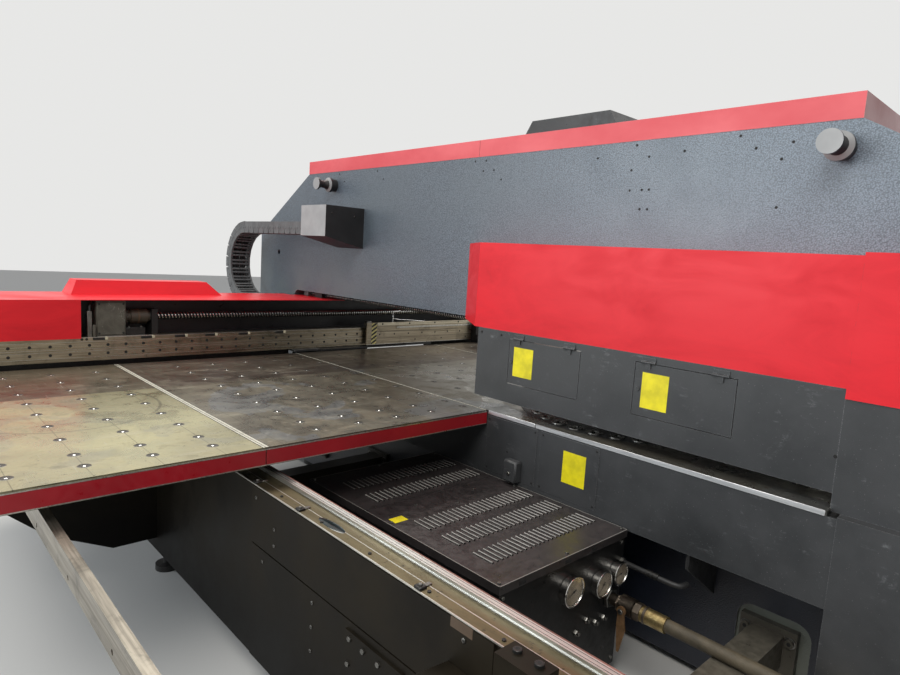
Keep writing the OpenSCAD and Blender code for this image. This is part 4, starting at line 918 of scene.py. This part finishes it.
def fit_guides():
    """Fine lines, clips and screws on the guide beams, and the screws of their panels."""
    piece = Piece("guide_fittings")
    near, far = GUIDE_LOW[1] + 2, GUIDE_HIGH[1] - 2
    edge, ledge = 1822, 806
    for _ in piece.mirrored():
        # Bright arris of the ledge, a scribed line along its middle, and grooves of the rail drawn in black
        # as painted shade
        for x0, x1, z0, z1, mat in ((edge - 3.5, edge + 0.3, ledge - 3, ledge + 0.5, SEAM),
                                    (1779, 1782, ledge - 1, ledge + 0.4, SEAM),
                                    (1714.7, 1716.3, RAIL_TOP - 1, RAIL_TOP + 0.15, HOLE),
                                    (1726.7, 1728.3, RAIL_TOP - 1, RAIL_TOP + 0.15, HOLE)):
            piece.box((x0, near, z0), (x1, far, z1), mat)
        for k in range(14):
            piece.bolt((1801, near + 93 + 260 * k, ledge), UP, 5.5, BLACK_STEEL, "socket", 3.5)
        for y in (-395, -700, -1315, 60, 760):
            piece.block((1793, y - 13, ledge - 0.5), (1818, y + 13, ledge + 7), BLACK_STEEL, 1.5)
            piece.bolt((1806, y, ledge + 7), UP, 6, BOLT, "hex", 5)
            piece.block((1770, y - 7, ledge - 0.5), (1793, y + 7, ledge + 4), BOLT, 1.2)
        for y in (-1745, -1685):
            piece.bolt((1850, y, GUIDE_HIGH[2]), UP, 11, BLACK_STEEL, "socket", 8)
        for y, z in ((-1045, 535), (-1113, 531), (-1186, 530), (-1041, 454), (-1265, 530), (-1265, 230),
                     (-1045, 230)):
            piece.bolt((PANEL_SIDE, y, z), RIGHT, 9, BOLT, "hex", 6)
        for y, z in ((-820, 540), (-820, 458), (-820, 375), (-560, 690), (-560, 630), (-480, 540),
                     (-1500, 540), (-1500, 620), (-1500, 760), (-420, 760)):
            piece.bolt((edge, y, z), RIGHT, 6.5, BOLT, "socket", 3)
        piece.box((edge - 1, -1527, 774), (edge + 0.8, -1451, 801), RUST)
    # Drop of oil on the left ledge
    piece.turn = Matrix.Translation((-1786, -860, ledge)) @ Matrix.Diagonal((0.62, 2.4, 1.0, 1.0))
    piece.lathe([(30, 0), (27, 1.0), (18, 2.2), (6, 2.8)], (0, 0, 0), UP, OIL, 28)
    piece.turn = Matrix()
    piece.done("worn_steel", "machine")

    piece = Piece("cross_beam_screws")
    flange = 394
    for _ in piece.mirrored():
        for y in (-1702, 60, 780, 1500):
            for dy in (-80, 80):
                for z in (328, 175):
                    place = (flange, y + dy, z)
                    # Black disc: painted shade in the screw's hole.
                    piece.lathe([(8, -1), (8, 0.4)], place, RIGHT, HOLE, 6)
                    piece.lathe([(16, -14), (21, -13.5), (21, -11), (16, -10.5)], place, RIGHT, BOLT,
                                24, True)
    piece.done("dark_steel", "machine")


def fit_bar():
    """Screws, scribed lines and clips of the X guide bar, and the plates that close its gaps."""
    piece = Piece("bar_screws")
    for k in range(51):
        for z in (1047, 999):
            piece.hole((-2286 + 95.5 * k, BAR_FACE, z), FRONT, 8.5, 0.4)
    end = BAR_END - 1
    for z in (1069, 1028, 1016, 981):
        piece.box((-end, BAR_FACE - 0.5, z - 1.4), (end, BAR_FACE + 0.5, z + 0.2), SEAM)
    piece.box((-end, 1496.4, BAR_TOP - 2.5), (end, 1497.5, BAR_TOP + 0.2), SEAM)
    # Dark clips with bright corners along the bar's upper edge
    for x in (-1822, -1566, -1370, -1182, -960, -700):
        piece.block((x - 62, 1491, 1074), (x, 1497.5, 1088), BLACK_STEEL, 1)
        piece.block((x, 1490.5, 1074), (x + 16, 1497.5, BAR_TOP + 0.5), IVORY, 1)
    for x in (-1940, -1916):
        piece.bolt((x, 1497, 1081), FRONT, 7, BLACK_STEEL, "socket", 6)
    piece.done("worn_steel", "y_carriage")

    piece = Piece("bar_closing_plates")
    for x0, x1 in ((-632, -426), (355, 632)):
        piece.block((x0, 1451, 943), (x1, 1546, 956.5), DARK, 1.5)
    piece.done("dark_paint", "y_carriage")


# Y and Z of the X screw's axis
SCREW_Y, SCREW_Z = 1600, 1196


def fit_x_drive():
    """Cover plate and coupling of the X motor, and what stands around them."""
    piece = Piece("x_drive_fittings")
    piece.block((-1856, 1520, 1098), (-1708, 1526, 1288), MOTOR_CASE, 2.5)
    for x in (-1846, -1718):
        for z in (1108, 1278):
            piece.bolt((x, 1520, z), FRONT, 6, BLACK_STEEL, "socket", 3)
    # Flange, coupling and its band
    for x, section, mat in (
            (-1704, [(36, 0), (50, 0), (52, 2), (52, 16), (50, 18), (36, 18)], MOTOR_CASE),
            (-1664, [(36, 0), (45, 2), (45, 96), (36, 98)], MOTOR_CASE),
            (-1624, [(45, 0), (46.5, 1), (46.5, 9), (45, 10)], RUST)):
        piece.lathe(section, (x, SCREW_Y, SCREW_Z), RIGHT, mat, 36, True)
    for k in range(8):
        angle = math.pi * k / 4
        place = (-1686, SCREW_Y + 44 * math.cos(angle), SCREW_Z + 44 * math.sin(angle))
        piece.bolt(place, RIGHT, 4.5, BOLT)
    # Post, cable and bracket between the end box and the motor
    piece.block((-1908, 1512, 1088), (-1884, 1530, 1238), BOLT)
    piece.block((-1881, 1506, 1088), (-1866, 1522, 1160), MOTOR_CASE)
    piece.tube([(-1895, 1521, 1238), (-1895, 1521, 1262), (-1885, 1540, 1278), (-1860, 1560, 1280)],
               6, BLACK_RUBBER)
    piece.block((-1702, 1530, 1091), (-1592, 1580, 1136), BLACK_STEEL, 3)
    for x in (-1680, -1612):
        piece.bolt((x, 1545, 1136), UP, 7, BOLT, "socket", 6)
    piece.box((-1860, 1497.2, 1091), (-1560, 1520, 1093.5), SEAM)
    piece.done("motor_paint", "y_carriage")


def fit_sheet_carriage():
    """Marking tape, scale, screws and the grease fitting on the sheet carriage."""
    piece = Piece("sheet_carriage_fittings")
    face, end = SHEET_FACE, SHEET_END - 1
    piece.box((19, face - 0.6, 964), (66, face + 0.5, 1129), STRIPES)
    piece.block((-25.5, face + 2, 1108), (18, face + 36, 1146), BOLT, 3)
    piece.block((70, face - 3.5, 1108), (end, face + 3, 1133), SCALE, 1.2)
    piece.block((260, face - 5, 1086), (end, face + 1, 1099), SEAM, 1.2)
    piece.box((70, face - 0.8, 1062), (end, face + 0.5, 1064.5), HOLE)
    piece.box((-24, face - 0.8, 1010), (end, face + 0.5, 1012.5), RUST)
    piece.box((-24, face - 1.2, 962.5), (end, face + 0.5, 967), SEAM)
    for k in range(17):
        piece.hole((96 + 143 * k, face, 1040), FRONT, 6.5, 0.7)
    for k in range(9):
        piece.hole((118 + 270 * k, face - 3.5, 1121), FRONT, 7.5, 0.5, 0.5)
    for k in range(8):
        piece.hole((455 + 286 * k, face, 989), FRONT, 6.5, 0.7)
    # Fine divisions of the scale
    for k in range(240):
        x, y = 250 + 9.25 * k, face - 3.8
        piece.add([(x, y, 1122), (x + 1.6, y, 1122), (x + 1.6, y, 1131), (x, y, 1131)], [(0, 1, 2, 3)], HOLE)
    # Grease fitting with its pipes
    back = face + 24
    piece.rod((225, back, 1214), (300, back, 1214), 7, BRIGHT, 12, 1.5)
    piece.lathe([(7, 0), (10, 1), (10, 11), (7, 12)], (290, back, 1214), RIGHT, BRIGHT, 6, True)
    piece.tube([(240, back, 1212), (238, back, 1180), (236, back, 1152), (236, back, 1131)], 5, BRIGHT, 8)
    piece.tube([(236, back, 1158), (300, back, 1150), (420, back, 1143), (560, back, 1132)], 2.5, BRIGHT, 8)
    piece.done("worn_steel", "x_carriage")


def ball_screw(name, body, node, axis):
    """Screw with two starts and a lead of 40 mm: crests in a painted highlight over grooves in painted
    shade.
    """
    low, high = box_of(node)
    start = (Vector(low) + Vector(high)) / 2
    start[axis] = low[axis]
    length = high[axis] - low[axis]
    radius = max(high[across] - low[across] for across in range(3) if across != axis) / 2
    steps, rise, groove = 16, 2.5, 0.82
    ahead = Vector([1.0 if across == axis else 0.0 for across in range(3)])
    side = ahead.orthogonal().normalized()
    other = ahead.cross(side)
    piece = Piece(name)
    turns = range(-steps, int(length / rise) + 2)
    points = []
    for i in turns:
        r = radius * (groove if 3 <= i % 8 <= 6 else 1.0)
        for k in range(steps + 1):
            along = min(max((i + k) * rise, 0.0), length)
            angle = 2 * math.pi * k / steps
            points.append(start + ahead * along + (side * math.cos(angle) + other * math.sin(angle)) * r)
    for mat, wanted in ((CREST_HIGHLIGHT, (0, 1)), (GROOVE_SHADE, (2, 3, 4, 5, 6, 7))):
        faces = []
        for i, turn in enumerate(turns[:-1]):
            if turn % 8 not in wanted:
                continue
            for k in range(steps):
                if 0 <= (turn + k) * rise < length:
                    a, b = i * (steps + 1) + k, (i + 1) * (steps + 1) + k
                    faces.append((a, b, b + 1, a + 1))
        used = sorted({p for face in faces for p in face})
        place = {p: i for i, p in enumerate(used)}
        piece.add([points[p] for p in used], [[place[p] for p in face] for face in faces], mat)
    for along in (0.0, length):
        piece.lathe([(radius * 0.86, -0.3), (radius * 0.86, 0.3)], start + ahead * along, ahead,
                    GROOVE_SHADE)
    piece.done("bright_steel", body, node)


# Cable chain: links at rest, each with a share of the carriage's travel; only shares of 0 and 1 fix a link
# to the machine or the carriage

BEND_LINKS, RUN_LINKS = 11, 12
BEND_Y, TOP_Z, BEND_Z = 2269.0, 1800.5, 1523.0
LINK = math.pi * (TOP_Z - BEND_Z) / BEND_LINKS
LINK_HEIGHT = 85.0
CHAIN_LEFT, CHAIN_RIGHT = box_of("cable_chain")[0][0], box_of("cable_chain")[1][0]
CABLE_RADIUS = 12.3
TRAVEL = 1525.0


def chain_link(piece, shrink=0.0):
    """One link, its length along Y and its outer side towards Z."""
    p, h = LINK / 2, LINK_HEIGHT / 2 - shrink
    outline = [(-p + 0.3, 0), (-p + 6, -h), (p - 6, -h), (p - 0.3, 0), (p - 0.6, h), (-p + 0.6, h)]
    x0, x1 = CHAIN_LEFT + shrink, CHAIN_RIGHT - shrink
    for x, inner in ((x0, x0 + 14), (x1, x1 - 14)):
        piece.prism(outline, 0, x, inner, CHAIN)
    for low, high in ((-h, -h + 9), (h - 9, h)):
        for y in (-21, 7):
            piece.block((x0 + 14, y, low), (x1 - 14, y + 14, high), CHAIN, 1.5)
    for k in range(5):
        x, z = x0 + 32 + 25 * k, -3 + 2 * (k % 3)
        piece.rod((x, -p - 1, z), (x, p + 1, z), CABLE_RADIUS, BLACK_RUBBER, 12)
    for x, out in ((x0, -RIGHT), (x1, RIGHT)):
        for y in (-p + 16, p - 16):
            piece.lathe([(9, 0), (9, 1.6), (7, 2.2)], (x, y, 0), out, CHAIN, 14)


def glide(made, share):
    """Fixes a piece to the machine when its share is 0 or less and to the carriage when it is 1 or more; any
    other share only bakes its place.
    """
    if share <= 0.0 or share >= 1.0:
        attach(made, "machine" if share <= 0.0 else "y_carriage")
        return
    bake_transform(made)


def make_chain():
    """Links at rest; each run's shares come from where its links lie at full travel."""
    bend = Piece("chain_bend")
    for i in range(BEND_LINKS):
        angle = -math.pi * (i + 0.5) / BEND_LINKS
        bend.turn = (Matrix.Translation((0, BEND_Y, BEND_Z)) @ Matrix.Rotation(angle, 4, "X")
                     @ Matrix.Translation((0, 0, TOP_Z - BEND_Z)))
        chain_link(bend)
    glide(bend.done("grey_plastic", None, "cable_chain"), 0.5)
    first = BEND_Y - LINK / 2
    for k in range(RUN_LINKS):
        rest = first - LINK * k
        full = (1466.9, 1387.6)[k] if k < 2 else 1340 - (k - 2) * 190 / 9
        link = Piece(f"chain_top_{k:02d}")
        link.turn = Matrix.Translation((0, rest, TOP_Z))
        chain_link(link, 0.06 * k)
        glide(link.done("grey_plastic"), 0.0 if k == RUN_LINKS - 1 else (rest - full) / TRAVEL)
    for k in range(RUN_LINKS):
        rest = first - (0 if k < 6 else LINK)
        full = 1506.5 - (k + 0.5) * 76.8
        link = Piece(f"chain_low_{k:02d}")
        link.turn = Matrix.Translation((0, rest, 2 * BEND_Z - TOP_Z)) @ Matrix.Rotation(math.pi, 4, "X")
        chain_link(link, 0.5 * (k % 6))
        glide(link.done("grey_plastic"), (rest - full) / TRAVEL)
    bracket = Piece("chain_bracket")
    bracket.block((CHAIN_LEFT, 2060, 1216), (CHAIN_RIGHT, 2110, 1276), BOLT, 3)
    for x in (CHAIN_LEFT + 30, CHAIN_RIGHT - 30):
        bracket.bolt((x, 2085, 1276), UP, 9, BOLT, "hex", 7)
    bracket.done("dark_steel", "y_carriage")

    piece = Piece("chain_box_screws")
    for x, z in ((-609, 1898), (-433, 1889)):
        piece.bolt((x, box_of("chain_box")[0][1], z), FRONT, 8, BLACK_STEEL, "button", 4)
    piece.done("dark_steel", "machine")


fit_frame()
fit_tables()
fit_lid()
fit_gauges()
fit_valve()
fit_guides()
fit_bar()
fit_x_drive()
fit_sheet_carriage()
ball_screw("y_screw_thread", "y_screw", "y_ball_screw", 1)
ball_screw("x_screw_thread", "x_screw", "x_ball_screw", 0)
make_chain()


# Floor, light and background

def make_stage():
    """Pale floor, and a world that lights softly and shows a pale wall where it is seen."""
    mesh = bpy.data.meshes.new("floor")
    reach = 30.0
    mesh.from_pydata([(-reach, -reach, 0), (reach, -reach, 0), (reach, reach, 0), (-reach, reach, 0)],
                     [], [(0, 1, 2, 3)])
    floor = bpy.data.objects.new("floor", mesh)
    bpy.context.scene.collection.objects.link(floor)
    floor.data.materials.append(Look("floor_pale", (0.62, 0.62, 0.61)).finish(0.6))

    world = bpy.data.worlds.new("world")
    bpy.context.scene.world = world
    sky = Shader(world)
    light = sky.node("Background", {"Color": (0.95, 0.97, 1.0), "Strength": 0.36})
    shown = sky.node("Background", {"Color": (0.80, 0.80, 0.79), "Strength": 1.0})
    rays = sky.node("LightPath", {}).node.outputs
    seen = rays["Is Camera Ray"]
    for ray in ("Is Glossy Ray", "Is Transmission Ray"):
        seen = sky.math("MAXIMUM", seen, rays[ray])
    sky.node("OutputWorld", {0: sky.node("MixShader", {0: seen, 1: light, 2: shown})})


def lamp(name, place, aim, width, height, watts, color=(1.0, 1.0, 1.0)):
    data = bpy.data.lights.new(name, "AREA")
    data.shape = "RECTANGLE"
    data.size = width
    data.size_y = height
    data.energy = watts
    data.color = color
    made = bpy.data.objects.new(name, data)
    bpy.context.scene.collection.objects.link(made)
    made.location = place
    made.rotation_euler = (Vector(aim) - Vector(place)).to_track_quat("-Z", "Y").to_euler()


bpy.context.scene.view_settings.view_transform = "Standard"
make_stage()
lamp("key", (-5.0, -3.0, 6.5), (-0.3, -0.2, 1.2), 4.0, 3.0, 330.0, (1.0, 0.97, 0.92))
lamp("overhead", (-0.5, 3.5, 6.5), (-1.0, 0.5, 0.9), 6.0, 2.0, 300.0, (1.0, 0.96, 0.88))
lamp("side", (6.5, -1.0, 4.0), (0.0, 0.0, 1.0), 4.0, 3.0, 160.0)
lamp("window", (-7.5, 2.2, 2.6), (-0.4, -0.8, 1.6), 5.0, 3.2, 215.0, (0.88, 0.95, 1.0))
